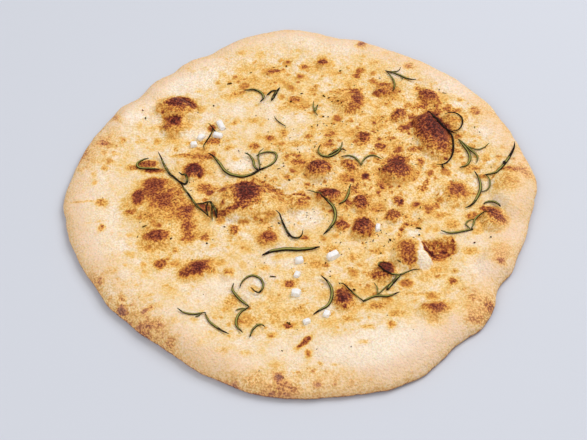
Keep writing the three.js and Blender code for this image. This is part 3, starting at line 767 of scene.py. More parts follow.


# Browned places, and a few spots of painted shade on shaded flanks, with their strengths: 0.25 golden, 0.45
# tan, 0.65 brown, 0.85 dark and 1 nearly black.
TOASTED_AND_SHADED: tuple[Spot, ...] = (
    # the two blisters far left
    (-77, 80.5, 8.4, 3.6, -4, 0.72), (-75, 77.5, 8, 4.2, -12, 0.5), (-72, 82.4, 8.5, 2.8, -14, 0.64),
    (-66, 77, 7, 3, -42, 0.78), (-77, 64, 6, 4, 10, 0.4), (-76.5, 63, 5, 5.4, 0, 0.76),
    (-82, 58.5, 5, 2.4, 35, 0.42), (-76, 65, 3.4, 2.6, 0, 0.4),
    # left pillow
    (-63.5, 19, 8.5, 7, 0, 0.5), (-63.8, 20.5, 5.2, 4.2, 0, 0.86), (-71, 32, 8, 2.6, 0, 0.42),
    (-60, 30, 9, 3.4, -8, 0.42), (-53, 32, 4, 3, 0, 0.4), (-75, 37.5, 2.6, 2.4, 0, 0.42),
    (-92, 25.5, 7.5, 4.2, 0, 0.66), (-90, 19.5, 5, 2.4, 0, 0.5), (-100.5, 22.5, 4.2, 2.6, 0, 0.52),
    (-57, 3, 6.5, 4.6, 0, 0.46), (-97, -2, 4.4, 8.4, 0, 0.74), (-87, 10, 10, 4.8, 0, 0.7),
    (-86, 5, 8, 4, 0, 0.2), (-88, 19.5, 9, 2.4, 0, 0.5), (-90, 4, 6, 5, 0, 0.5), (-81, -5, 6, 8, 0, 0.46),
    (-88, -3, 5, 6, 0, 0.3), (-68, -15, 5, 8, 0, 0.36), (-66, -28, 5.5, 7, 0, 0.46),
    (-72, 2, 4, 5, 0, 0.38), (-100, -14, 4, 3, 0, 0.46), (-92, -18, 9, 4, 0, 0.24),
    (-80, -16, 18, 10, 0, 0.16), (-84, 0, 17, 12, 10, 0.3), (-73, -12, 13, 13, 0, 0.2),
    # painted shade: (-104, -8) darkens the shaded left flank of the left pillow
    (-104, -8, 4, 10, 0, 0.2), (-84, -33, 10, 6, 0, 0.5), (-86, -33.5, 6.5, 5, 0, 0.5),
    (-85, -42, 12, 5, 0, 0.26), (-56.5, -36, 2.6, 4, 0, 0.5), (-66, -36, 5, 4.4, 0, 0.46),
    (-73, -45, 2.6, 2.6, 0, 0.36),
    # middle pillow: dark crown, wrinkles to the right and a tail to the lower left
    (-32, -1.5, 6.5, 6.6, 0, 0.86), (-32, -1, 10, 10, 0, 0.6), (-34, 4.6, 8, 3, 18, 0.46),
    (-17, 2, 9, 1.3, -34, 0.26), (-15, -2, 9, 1.2, -36, 0.46), (-20, -1, 7, 1.2, -26, 0.32),
    (-35, -11, 5.5, 4, 0, 0.5), (-18, 0, 9, 4, -34, 0.1), (-43, -16, 10, 3.4, 31, 0.6),
    (-50, -17, 4, 4, 0, 0.55), (-27, -10, 4, 3, 0, 0.26), (-3, -8.4, 4.4, 2.6, 0, 0.34),
    (-7, 10, 3.4, 2.6, 0, 0.36), (-14, 9, 2.6, 2, 0, 0.42),
    # centre blisters
    (12.8, 17.4, 6.6, 6, 0, 0.6), (12.5, 19, 5, 4, 0, 0.5), (0, 22, 6.5, 3, 0, 0.42),
    (60, 13.6, 8.6, 7, 0, 0.4), (60, 17, 7.4, 5, 0, 0.7), (17.6, -4.8, 6.8, 4.4, 0, 0.78),
    (35.4, -12, 4, 5.4, 0, 0.6), (33, -2.6, 3.6, 4, 0, 0.46), (58.6, -13.6, 3.2, 4.4, 0, 0.66),
    (54.5, -6, 2, 2, 0, 0.4), (54.6, -23.4, 4.6, 3.8, 0, 0.5), (36.2, -30, 5.4, 6, 0, 0.6),
    (37.6, -29.4, 4.6, 4.6, 0, 0.5), (23.5, -29.6, 3.8, 4, 0, 0.66), (31, 16.5, 4.2, 4, 0, 0.52),
    (41.4, 41.4, 5.8, 5.8, 0, 0.64), (41.6, 42.6, 2.6, 3, 0, 0.3), (51, 33, 4.4, 3.4, 0, 0.6),
    (47, 21, 3.4, 3, 0, 0.32), (20, 35, 4.2, 3, 0, 0.46),
    # far right blisters
    (86, 46, 9.2, 19.4, 15, 0.84), (87, 42, 7, 13, 15, 0.55), (79, 40, 4, 12, 10, 0.24),
    (85.4, 77.3, 6.6, 4.8, -25, 0.64), (79, 83, 4, 2, -40, 0.45), (80, 68, 5, 5, 0, 0.6),
    (98, 62, 7, 3, -6, 0.52), (99.5, 54, 6, 6, 0, 0.16), (104, 53, 4, 6, 0, 0.22),
    (33, 75, 12.5, 10, -10, 0.22), (40, 77.5, 4.6, 6.5, 0, 0.46), (34.5, 64.5, 6, 3.6, 0, 0.42),
    (24, 77.5, 4.5, 3.6, 0, 0.26), (36, 85, 9, 1.1, -4, 0.4), (57, 84, 5, 4.4, 0, 0.42),
    (56.5, 88.6, 6, 1.5, 5, 0.4), (65, 62, 5, 4.8, 0, 0.62), (63, 57, 6, 4, 0, 0.4),
    (112.2, 60.2, 4, 4.4, 0, 0.52), (104.4, 71.6, 3, 2.4, 0, 0.34),
    # right blisters
    (93, -7.6, 9, 9.4, 0, 0.42), (93.5, -5, 6, 5, 0, 0.46), (75.2, -20.2, 4.6, 5.4, 0, 0.44),
    (75.4, -1, 7, 1.8, 66, 0.5), (109.5, -23, 4.6, 3, -10, 0.6), (114, -26.5, 5, 4.6, -30, 0.64),
    (116.5, -32, 3.6, 5, 20, 0.5), (128, 9.5, 9, 3.4, -8, 0.42), (136, 4.5, 2.6, 6, 20, 0.42),
    (127, -1, 11, 10, 0, 0.2), (105, 11, 5, 3, 0, 0.42), (110, 4, 4, 3, 0, 0.42),
    (87.5, -33.5, 6, 4, 0, 0.36), (114, -55, 8.5, 8, 0, 0.34), (112, -62, 5, 4.6, 0, 0.42),
    (113.4, -64.5, 2.3, 3, 0, 0.6),
    # burst blister and its open floor
    (60.6, -50.5, 7.4, 9, 6, 0.45), (60, -55, 7, 9.5, 6, 0.4), (60.5, -60.5, 5, 4, 0, 0.4),
    (77, -60, 6, 2.4, -10, 0.5), (71.2, -47.6, 1.2, 3.6, 8, 0.6), (73.4, -55.4, 2.2, 2.2, -30, 0.97),
    (80.6, -55.6, 3, 1.4, 4, 1.0), (87.3, -47, 1.4, 2.6, 15, 0.95), (85, -44, 4, 1.6, 0, 0.4),
    (66, -34, 4, 1.6, -10, 0.3),
    # near right
    (47.6, -63.6, 5, 4.4, 0, 0.86), (44, -69.4, 7, 3.4, 8, 0.58), (38.5, -69, 4, 3, 0, 0.4),
    (21.8, -83.6, 4.6, 7, -8, 0.5), (20, -82, 2.8, 5, 0, 0.42), (23, -89, 5, 3.4, 0, 0.4),
    (72.5, -95, 9.4, 5.4, 0, 0.45), (72.5, -93.6, 6.6, 3.6, 0, 0.44), (71, -102, 6, 6, 0, 0.28),
    (83.8, -76.6, 3.2, 3, 0, 0.54), (101.5, -96, 3, 5.4, 15, 0.5), (93, -104.6, 6.5, 5, 0, 0.38),
    (94.5, -88, 4.6, 2.6, 0, 0.42), (86, -69, 1.8, 1.6, 0, 0.36), (47.1, -105.5, 2.7, 3, 0, 0.46),
    (34, -106.5, 4.6, 1.9, -5, 0.4), (31, -116.5, 4, 2, 10, 0.26), (39.5, -92, 5.5, 3, 0, 0.36),
    (7, -129.5, 1.7, 1.7, 0, 0.34), (15, -131, 2.2, 1.6, 0, 0.34),
    # near left
    (-58.8, -58.6, 5.6, 5, 0, 0.64), (-60, -56.6, 9, 4.4, 8, 0.4), (-51, -62, 3, 3, 0, 0.3),
    (-67.4, -62.6, 4.6, 4.4, 0, 0.58), (-61, -60, 10, 6.4, 8, 0.36), (-59, -54, 8, 1.7, 0, 0.36),
    (-43, -63.4, 4.2, 3, -25, 0.46), (-81.6, -55.2, 4.6, 4.4, 0, 0.68), (-19, -37, 4.8, 5.4, 0, 0.62),
    (-21, -39, 8, 6, 0, 0.38), (-39.5, -31, 3.6, 4.8, 0, 0.54), (-8.5, -73.8, 3.8, 3.6, 0, 0.6),
    (-9.8, -103.5, 4, 2.4, 0, 0.64), (-1, -114.6, 6.8, 2.3, 46, 0.7), (-4, -118.4, 3, 2, 40, 0.4),
    (0.3, -123.4, 2.1, 3.5, 0, 0.54), (1.7, -39.5, 2.6, 2.5, 0, 0.56), (-41, -84, 5, 5, 0, 0.34),
    (-31, -98, 6, 4, 0, 0.16), (-17, -98, 4.4, 4, 0, 0.2), (-22, -61, 3.4, 2.2, 0, 0.36),
    (-29, -76, 3, 3, 0, 0.3), (-18, -109, 3.2, 2.6, 0, 0.32),
    # browning along the edge
    (-113.8, 68, 3.2, 3.4, -40, 0.4), (-125, 59, 7, 1.6, 45, 0.4), (-132, 36, 2.4, 9, -14, 0.32),
    (-119.6, 45.4, 4, 2.8, -10, 0.51), (-108.5, 47, 3, 2.9, 20, 0.4), (-96, 46, 2.6, 2.4, 0, 0.22),
    (-118, 23.4, 2.6, 2.4, 0, 0.34), (-133, 23, 3, 3, 0, 0.24), (-123.8, 11.6, 2.3, 2.3, 0, 0.35),
    (-118.5, -5, 4.6, 4.4, 0, 0.46), (-130, -3.2, 9, 0.8, 2, 0.27), (-117, -25.6, 2.6, 3.3, 0, 0.51),
    (-109, -58, 4.5, 2.5, 0, 0.19), (-116.6, -66, 3.6, 5, 40, 0.34), (-102.6, -78.7, 3.7, 3.6, 0, 0.35),
    (101, -28.5, 5.4, 4, 0, 0.46), (106, -33, 7, 6, 0, 0.26), (62.5, -28, 4, 5, 0, 0.24),
    (-86, -86.6, 2.4, 2.9, 0, 0.37), (-86.6, -78, 2.4, 1.2, 0, 0.3), (-83.4, -99.4, 6, 3.4, 0, 0.3),
    (-88, -106, 7, 2.4, -35, 0.32), (-74.2, -113, 2.9, 5.6, 10, 0.42), (-58, -112, 3.2, 2.6, 0, 0.22),
    (-46, -118, 5, 3, 0, 0.21), (-33, -121, 5, 2.5, 0, 0.21), (-30, -139, 4, 4.4, 0, 0.3),
    (-14, -142, 5, 4.4, 0, 0.29), (-8, -145, 3.4, 3, 0, 0.3), (-18, -148, 13, 2.4, 0, 0.35),
    (-26, -133, 2.6, 3, 0, 0.3), (-15, -137, 2.2, 2.6, 0, 0.24), (-5, -136, 2.2, 2.6, 0, 0.24),
    (45, 128.6, 4.4, 3.4, 0, 0.66), (48, 132, 6, 1, -12, 0.32), (46.5, 124.5, 3, 2, 0, 0.24),
    (60, 119, 4, 1.6, -20, 0.24), (52, 111, 4.4, 3, 0, 0.22), (75, 105, 4.4, 3.8, -20, 0.5),
    (-70, 112, 6, 1, 30, 0.24), (-30, 135, 4, 2, 20, 0.24),
    # small spots, far
    (19, 112.4, 4.3, 2.7, 0, 0.76), (7, 108, 3.6, 2.4, 8, 0.44), (-4, 114.5, 2.4, 1.8, 0, 0.4),
    (-12.8, 105.4, 5.2, 2.3, 0, 0.6), (40.4, 97.4, 2.9, 2.8, 0, 0.46), (0, 77.8, 5, 4, 0, 0.48),
    (6, 71.4, 4.4, 3, 0, 0.38), (12, 86.5, 2.6, 2, 0, 0.34), (-41, 83.5, 9, 4, 12, 0.26),
    (-35, 88, 4, 3, 0, 0.14), (-62, 89, 2.6, 1.2, 0, 0.3), (-40, 58, 2.4, 1.7, 0, 0.36),
    (-67, 42, 2.4, 1.8, 0, 0.36), (-53.5, 54.5, 2.8, 4, 0, 0.72), (-52, 42.5, 6, 4, 0, 0.52),
    (-28, 60, 3.4, 3, 0, 0.3), (-17, 44, 4, 3.4, 0, 0.5), (-27, 37, 4.6, 3.4, 0, 0.52),
    (-43, 37, 2.8, 2.4, 0, 0.4), (-3, 28, 5.4, 2, 0, 0.42), (7, 44, 2.8, 3, 0, 0.4),
    (22, 46, 2.8, 3, 0, 0.42), (-8, 48, 3, 4.6, 0, 0.38), (-38, 27, 3, 2, 0, 0.3),
    (66, 47, 5, 3.4, 0, 0.38), (58, 40, 4, 3, 0, 0.32), (72, 29, 6, 4, 0, 0.46), (64, 24, 6, 3, 0, 0.34),
    (0, 38, 7, 3, 0, 0.3), (-8, 70, 5, 4, 0, 0.22), (74, 20, 4, 3, 0, 0.3), (83, 14, 5, 3, 0, 0.32),
    (61, 20.5, 9, 3.4, 0, 0.6), (-54, 30, 5, 3, 0, 0.24), (74, -5, 5, 4, 0, 0.3), (26, -14, 4, 5, 0, 0.3),
    (45, -20, 4, 3, 0, 0.34), (44, -52, 4, 3, 0, 0.3), (28, -42, 5, 3, 0, 0.14), (17, -50, 7, 3.6, 0, 0.34),
    (84, -26, 5, 3, 0, 0.28), (96, -55, 6, 4, 0, 0.36), (102, -40, 5, 3, 0, 0.26), (27, 84, 4, 3, 0, 0.26),
    # painted shade: (38.5, 35.5) darkens the shaded lower left flank of the blister at (41.4, 41.4)
    (74, 66, 4, 3, 0, 0.34), (50, 56, 5, 3, 0, 0.34), (36, 68, 5, 3.6, 0, 0.3), (38.5, 35.5, 5, 4, 0, 0.4),
    (51, 29, 4, 3, 0, 0.3), (-3, -93, 5, 4, 0, 0.3), (8, -60, 5, 3, 0, 0.3), (30, -56, 5, 3, 0, 0.28),
    (24, -100, 5, 3, 0, 0.24), (52, -98, 5, 3, 0, 0.24), (76, -68, 4, 3, 0, 0.26), (98, 26, 4, 3, 0, 0.24),
)

# Oily golden places.
GOLDEN: tuple[Spot, ...] = (
    (45, 20, 84, 78, 0, 0.8), (84, 58, 42, 40, 0, 0.5), (-45, -15, 62, 50, 0, 0.62),
    (0, 98, 70, 36, 0, 0.62), (25, -72, 66, 36, 0, 0.5), (-96, -90, 44, 16, -48, 0.85),
    (-106, -92, 30, 7, -44, 0.5), (99, -97, 16, 16, 0, 0.85), (-120, 36, 22, 32, -10, 0.6),
    (-10, -140, 44, 12, 0, 0.85), (60, 88, 44, 26, 0, 0.5), (-84, 70, 30, 26, 0, 0.45),
    (20, -98, 40, 14, 0, 0.35), (-70, 50, 44, 30, 0, 0.5), (70, -76, 40, 22, 0, 0.45),
    (-80, -50, 40, 26, 0, 0.45), (-30, -96, 36, 22, 0, 0.6), (-45, 105, 40, 20, 30, 0.4),
    (115, 10, 26, 40, 0, 0.3), (84, -8, 26, 22, 0, 0.45), (42, 4, 42, 36, 0, 0.45),
    (70, 40, 30, 20, 0, 0.4), (64, -26, 9, 12, 0, 0.4), (-112, -14, 16, 20, 0, 0.25),
    (-68, -74, 16, 12, 0, 0.3),
)

# Pale places where the dough stayed soft or floury, with a painted highlight on the crest of the burst
# blister and painted light on the shaded near slope of the middle pillow.
PALE: tuple[Spot, ...] = (
    (42, -120, 40, 16, 4, 0.75), (-118, -14, 16, 40, 4, 0.4), (-63, 50, 12, 7, 0, 0.9),
    # painted light: (-29, -22) lightens the shaded near slope of the middle pillow
    (-37, 23, 10, 8, 0, 0.8), (4, -24, 9, 10, 0, 0.8), (-20, -14, 9, 6, 0, 0.5), (-29, -22, 9, 3, 0, 0.25),
    # painted highlight: (64.8, -39.4) on the lit crest of the burst blister
    (64.8, -39.4, 3.6, 3, 0, 0.9), (-45, -78, 26, 12, -10, 0.4), (-87, 65, 5, 6, 0, 0.6),
    (98, -70, 16, 10, 0, 0.5), (-8, -58, 12, 5, 0, 0.5), (34, 25, 5, 3, 0, 0.7), (98, 30, 5, 8, 0, 0.4),
    (112, 45, 10, 12, 0, 0.4), (104, -30, 6, 5, 0, 0.5), (14, -92, 5, 4, 10, 0.6), (-25, -72, 4, 4, 0, 0.8),
    (98, 88, 30, 9, -42, 0.6), (-62, 100, 34, 12, 34, 0.7), (86, -40, 8, 1.6, 0, 0.8),
    (-34, -36, 4, 4, 0, 0.6), (120, 34, 6, 7, 0, 0.5), (80, -122, 30, 9, 40, 0.7),
    (116, -75, 8, 20, -14, 0.7), (136, -20, 5, 26, 0, 0.3), (-100, 70, 12, 14, 0, 0.7),
    (-76, 96, 16, 9, 20, 0.6), (-60, 66, 10, 12, 0, 0.5), (-40, 70, 10, 6, 20, 0.5),
    (-98, -40, 10, 7, 0, 0.4), (25, 128, 30, 8, -8, 0.4), (126, -45, 8, 16, -10, 0.5),
    (-6, 60, 5, 4, 0, 0.5), (104, -50, 4, 4, 0, 0.3),
)


@dataclass
class Bread:
    """The baked dough, from a six-sided fan that is stretched over the outline and sculpted."""

    crust: Crust
    finish: CrustFinish
    cuts: tuple[int, int] = (11, 12)
    leans: tuple[float, ...] = (75, 60, 46, 33, 20, 7, -12, -35, -62, -90)
    under_rings: tuple[float, ...] = (0.94, 0.82, 0.62, 0.36, 0.12)
    waver: Place = (9.0, 0.5)  # width and size of the fine waver of the outline
    fray: tuple[Place, ...] = ((7.0, 0.9), (2.2, 0.3))  # width and size of what frays the painted spots
    # The side darkens ring by ring down, partly for the browned underside and partly as painted shade along
    # the bottom edge.
    side_toast_and_shade: tuple[float, ...] = (0.0, 0.0, 0.04, 0.08, 0.12, 0.16, 0.24, 0.6, 0.7)  # ring by ring down
    sole_toast: Place = (0.6, 0.14)  # of the underside, and how much it varies
    sole_gold: float = 0.2
    floury_rim: Place = (2, 26)  # where the flour of the edge ends, counted inwards

    def build(self) -> bpy.types.Object:
        """Build, sculpt, paint and dress the bread.

        Returns:
            The finished piece.
        """
        piece = self._net()
        share, angle, level = self._unroll(places(piece))
        shaped = self._shape(share, angle, level)
        low, high = shaped[:, :2].min(0), shaped[:, :2].max(0)
        node_low, node_high = (np.array(corner[:2]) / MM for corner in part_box("bread"))
        self.crust.middle = (low + high) / 2 - (node_low + node_high) / 2
        self._paint(piece, shaped, level)
        shaped[:, :2] -= self.crust.middle
        place(piece, shaped * MM)
        wake(piece)
        bpy.ops.object.mode_set(mode="EDIT")
        bpy.ops.mesh.select_all(action="SELECT")
        bpy.ops.mesh.normals_make_consistent(inside=False)
        bpy.ops.object.mode_set(mode="OBJECT")
        bpy.ops.object.shade_smooth()
        settle_in(piece, self.finish.material(), ["bread"])
        return piece

    def _net(self) -> bpy.types.Object:
        """Make the net: a flat fan on top, with rings extruded down round the side and in below.

        Returns:
            The net, each ring one metre below the last.
        """
        bpy.ops.object.select_all(action="DESELECT")
        bpy.ops.mesh.primitive_circle_add(vertices=6, radius=1.0, fill_type="TRIFAN", location=(0, 0, 0))
        piece = bpy.context.object
        piece.name = piece.data.name = "focaccia_bread"
        bpy.ops.object.mode_set(mode="EDIT")
        for cuts in self.cuts:
            bpy.ops.mesh.select_all(action="SELECT")
            bpy.ops.mesh.subdivide(number_cuts=cuts)
        bpy.ops.mesh.select_all(action="SELECT")
        bpy.ops.mesh.region_to_loop()
        for _ in (*self.leans, *self.under_rings):
            bpy.ops.mesh.extrude_edges_move(TRANSFORM_OT_translate={"value": (0, 0, -1)})
        bpy.ops.mesh.edge_face_add()
        bpy.ops.object.mode_set(mode="OBJECT")
        return piece

    @staticmethod
    def _unroll(rows: np.ndarray) -> tuple[np.ndarray, np.ndarray, np.ndarray]:
        """Read the net.

        Args:
            rows: Its vertices' places.

        Returns:
            Each vertex's share of the radius, its angle, and how many rings below the top it is.
        """
        corners = np.radians(60 * np.arange(7) + 90)
        angle = (np.arctan2(rows[:, 1], rows[:, 0]) - corners[0]) % (2 * np.pi)
        sector = np.minimum(np.floor(angle / (np.pi / 3)).astype(int), 5)
        spokes = np.stack([np.cos(corners), np.sin(corners)], 1)
        first, second = spokes[sector], spokes[sector + 1]
        det = first[:, 0] * second[:, 1] - first[:, 1] * second[:, 0]
        alpha = (rows[:, 0] * second[:, 1] - rows[:, 1] * second[:, 0]) / det
        beta = (first[:, 0] * rows[:, 1] - first[:, 1] * rows[:, 0]) / det
        share = alpha + beta
        part = np.where(share > 1e-6, beta / np.maximum(share, 1e-6), 0)
        turned = corners[0] + (sector + part) * (np.pi / 3)
        return share, turned, np.rint(-rows[:, 2]).astype(int)

    def _shape(self, share: np.ndarray, angle: np.ndarray, level: np.ndarray) -> np.ndarray:
        """Give each vertex of the net its place on the bread.

        Args:
            share: Shares of the radius.
            angle: Angles anticlockwise from the right.
            level: How many rings below the top each vertex is.

        Returns:
            Rows of x, y and z.
        """
        c = self.crust
        edge = c.edge(angle)
        edge = edge + self.waver[1] * ripple(np.cos(angle) * 140, np.sin(angle) * 140, self.waver[0], 77.0, 3)
        lean = np.radians(np.array([90.0, *self.leans, *([-90.0] * len(self.under_rings))]))[level]
        inset = np.where(lean > 0, c.edge_roll, c.foot_inset)
        side = edge - inset * (1 - np.cos(lean))
        below = np.clip(level - len(self.leans), 0, None)
        shrink = np.array([1.0, *self.under_rings])[below]
        radius = np.where(level == 0, share * (edge - c.edge_roll), side * shrink)
        x, y = radius * np.cos(angle), radius * np.sin(angle)
        low = c.widest * c.thickness
        top = c.top(x, y)
        z = np.where(lean > 0, low + (top - low) * np.sin(lean), low * (1 + np.sin(lean)))
        return np.stack([x, y, np.where(level == 0, top, z)], 1)

    def _paint(self, piece: bpy.types.Object, rows: np.ndarray, level: np.ndarray) -> None:
        """Store how toasted, golden, pale and dusty each vertex is, with painted shade and highlights mixed
        into the toast and pale values and painted warm light mixed into the gold.

        Args:
            piece: The bread.
            rows: Its vertices' places.
            level: How many rings below the top each of them is.
        """
        x, y = rows[:, 0], rows[:, 1]
        seen = SIGHT.seen(x, y, rows[:, 2])
        (wide, far), (fine, near) = self.fray
        seen_x = seen[0] + far * ripple(x, y, wide, 51.3, 2) + near * ripple(x, y, fine, 57.9, 2)
        seen_y = seen[1] + far * ripple(x, y, wide, 63.1, 2) + near * ripple(x, y, fine, 69.7, 2)
        true_x, true_y = x + 0.5 * ripple(x, y, 5.0, 15.3, 2), y + 0.5 * ripple(x, y, 5.0, 25.3, 2)
        roof, floor = self.crust.burst(x, y)

        toast_and_shading = self._spotted(seen_x, seen_y, TOASTED_AND_SHADED, 0.3, 0.24, 0.45)
        for crease in CREASES:
            line = stretch(seen_x, seen_y, crease) / crease[4]
            toast_and_shading *= 1 - 0.75 * crease[5] * (1 - smooth(0.0, 1.2, line))
        # Painted shade, partly: the side darkens ring by ring down towards the bottom edge.
        ring = np.array(self.side_toast_and_shade)[np.minimum(level, len(self.side_toast_and_shade) - 1)]
        toast_and_shading *= 1 - ring * (1 + 0.3 * ripple(x, y, 7, 95.0, 3))
        toast_and_shading = self._blistered(true_x, true_y, 1 - np.clip(toast_and_shading, 0, 1))
        toast_and_shading = self._torn(x, y, toast_and_shading, roof, floor)
        for crease in CHARRED:
            line = stretch(seen_x, seen_y, crease) / crease[4]
            toast_and_shading = np.maximum(toast_and_shading, crease[5] * (1 - smooth(0.5, 1.3, line)))

        gold = self._spotted(seen_x, seen_y, GOLDEN, 0.2)
        # Painted warm light: gold laid on and round every blister stands in for the warm glow on their shaded
        # flanks.
        for spot in BLISTERS:
            gold *= 1 - 0.8 * (1 - smooth(0.8, 1.4, self.crust.within(true_x, true_y, spot, spot[5])))
        gold = 1 - np.clip(gold, 0, 1)
        pale = 1 - np.clip(self._spotted(seen_x, seen_y, PALE, 0.35), 0, 1)
        pale = np.maximum(pale * (1 - floor), roof)

        sole = self.sole_toast[0] + self.sole_toast[1] * ripple(x, y, 9.0, 95.0, 3)
        below = level >= len(self.side_toast_and_shade)
        carry(piece, "toast_and_shading", np.clip(np.where(below, sole, toast_and_shading), 0, 1))
        carry(piece, "gold", np.clip(np.where(below, self.sole_gold, gold), 0, 1))
        carry(piece, "pale", np.clip(np.where(below, 0.0, pale), 0, 1))
        inward = np.where(level > 0, 0, self.crust.inward(x, y)) + 6 * ripple(x, y, 24, 81.0, 2)
        carry(piece, "dust", 1 - smooth(*self.floury_rim, inward))

    @staticmethod
    def _spotted(
        x: np.ndarray, y: np.ndarray, spots: Sequence[Spot], solid: float, halo: float = 0, crowned: float = 1
    ) -> np.ndarray:
        """Lay soft spots over one another.

        Args:
            x: Seen distances to the right.
            y: Seen distances away.
            spots: The spots, with their strengths.
            solid: Share of a spot that has its full strength.
            halo: Strength of the faint ring round a spot, as a share of its own.
            crowned: The strength above which a spot is fuller on its far side.

        Returns:
            What is left of each place's raw colour, from 1 to 0.
        """
        left = np.ones(len(x))
        for spot in spots:
            q = ellipse(x, y, spot[:2], spot)
            crown = smooth(-0.6, 0.8, (y - spot[1]) / spot[3]) if spot[5] > crowned else 0.0
            body = 1 - smooth(solid + 0.3 * crown, 1.25 - 0.13 * crown, q)
            left *= 1 - spot[5] * np.maximum(body, halo * (1 - smooth(0.6, 1.9, q)))
        return left

    def _blistered(self, x: np.ndarray, y: np.ndarray, toast_and_shading: np.ndarray) -> np.ndarray:
        """Brown the blisters all over, less so at the near side of the dark ones, which is left paler as a
        painted highlight.

        Args:
            x: True distances to the right.
            y: True distances away.
            toast_and_shading: How toasted the places are so far, painted shade included.

        Returns:
            How toasted they are then, with the painted highlight on the near sides.
        """
        for spot in BLISTERS:
            q = self.crust.within(x, y, spot, spot[5])
            # Painted highlight: the near side of each dark blister is browned less, and the near edge of
            # every blister is spread softer.
            lit_near_side = smooth(0.3, -1.0, (y - self.crust.centre(spot, spot[5])[1]) / spot[3])
            brown = np.maximum(toast_and_shading, spot[6]) * (1 - 0.4 * lit_near_side * (spot[6] > 0.5))
            toast_and_shading = toast_and_shading + (brown - toast_and_shading) * (1 - smooth(0.64 - 0.14 * lit_near_side, 1.06 - 0.14 * lit_near_side, q))
        return toast_and_shading

    def _torn(
        self, x: np.ndarray, y: np.ndarray, toast_and_shading: np.ndarray, roof: np.ndarray, floor: np.ndarray
    ) -> np.ndarray:
        """Toast the open floor of the burst blister, darken it with painted shadow along the torn edge, and
        leave its torn roof raw.

        Args:
            x: True distances to the right.
            y: True distances away.
            toast_and_shading: How toasted the places are so far, painted shade included.
            roof: How much each is torn roof.
            floor: How much each is open floor.

        Returns:
            How toasted they are then, painted shadow included.
        """
        # Painted shadow: the open floor is darkened in a band along the torn edge.
        shadow = np.exp(-((self.crust.opening(x, y) / 1.5) ** 2)) * smooth(-62, -46, y)
        floor_toast_and_shadow = 0.5 + 0.3 * ripple(x, y, 2.6, 71.0, 3) + 0.45 * shadow
        toast_and_shading = toast_and_shading * (1 - roof)
        return np.where(floor > 0.02, np.maximum(toast_and_shading, floor * floor_toast_and_shadow), toast_and_shading)


# ---------------------------------------------------------------- rosemary

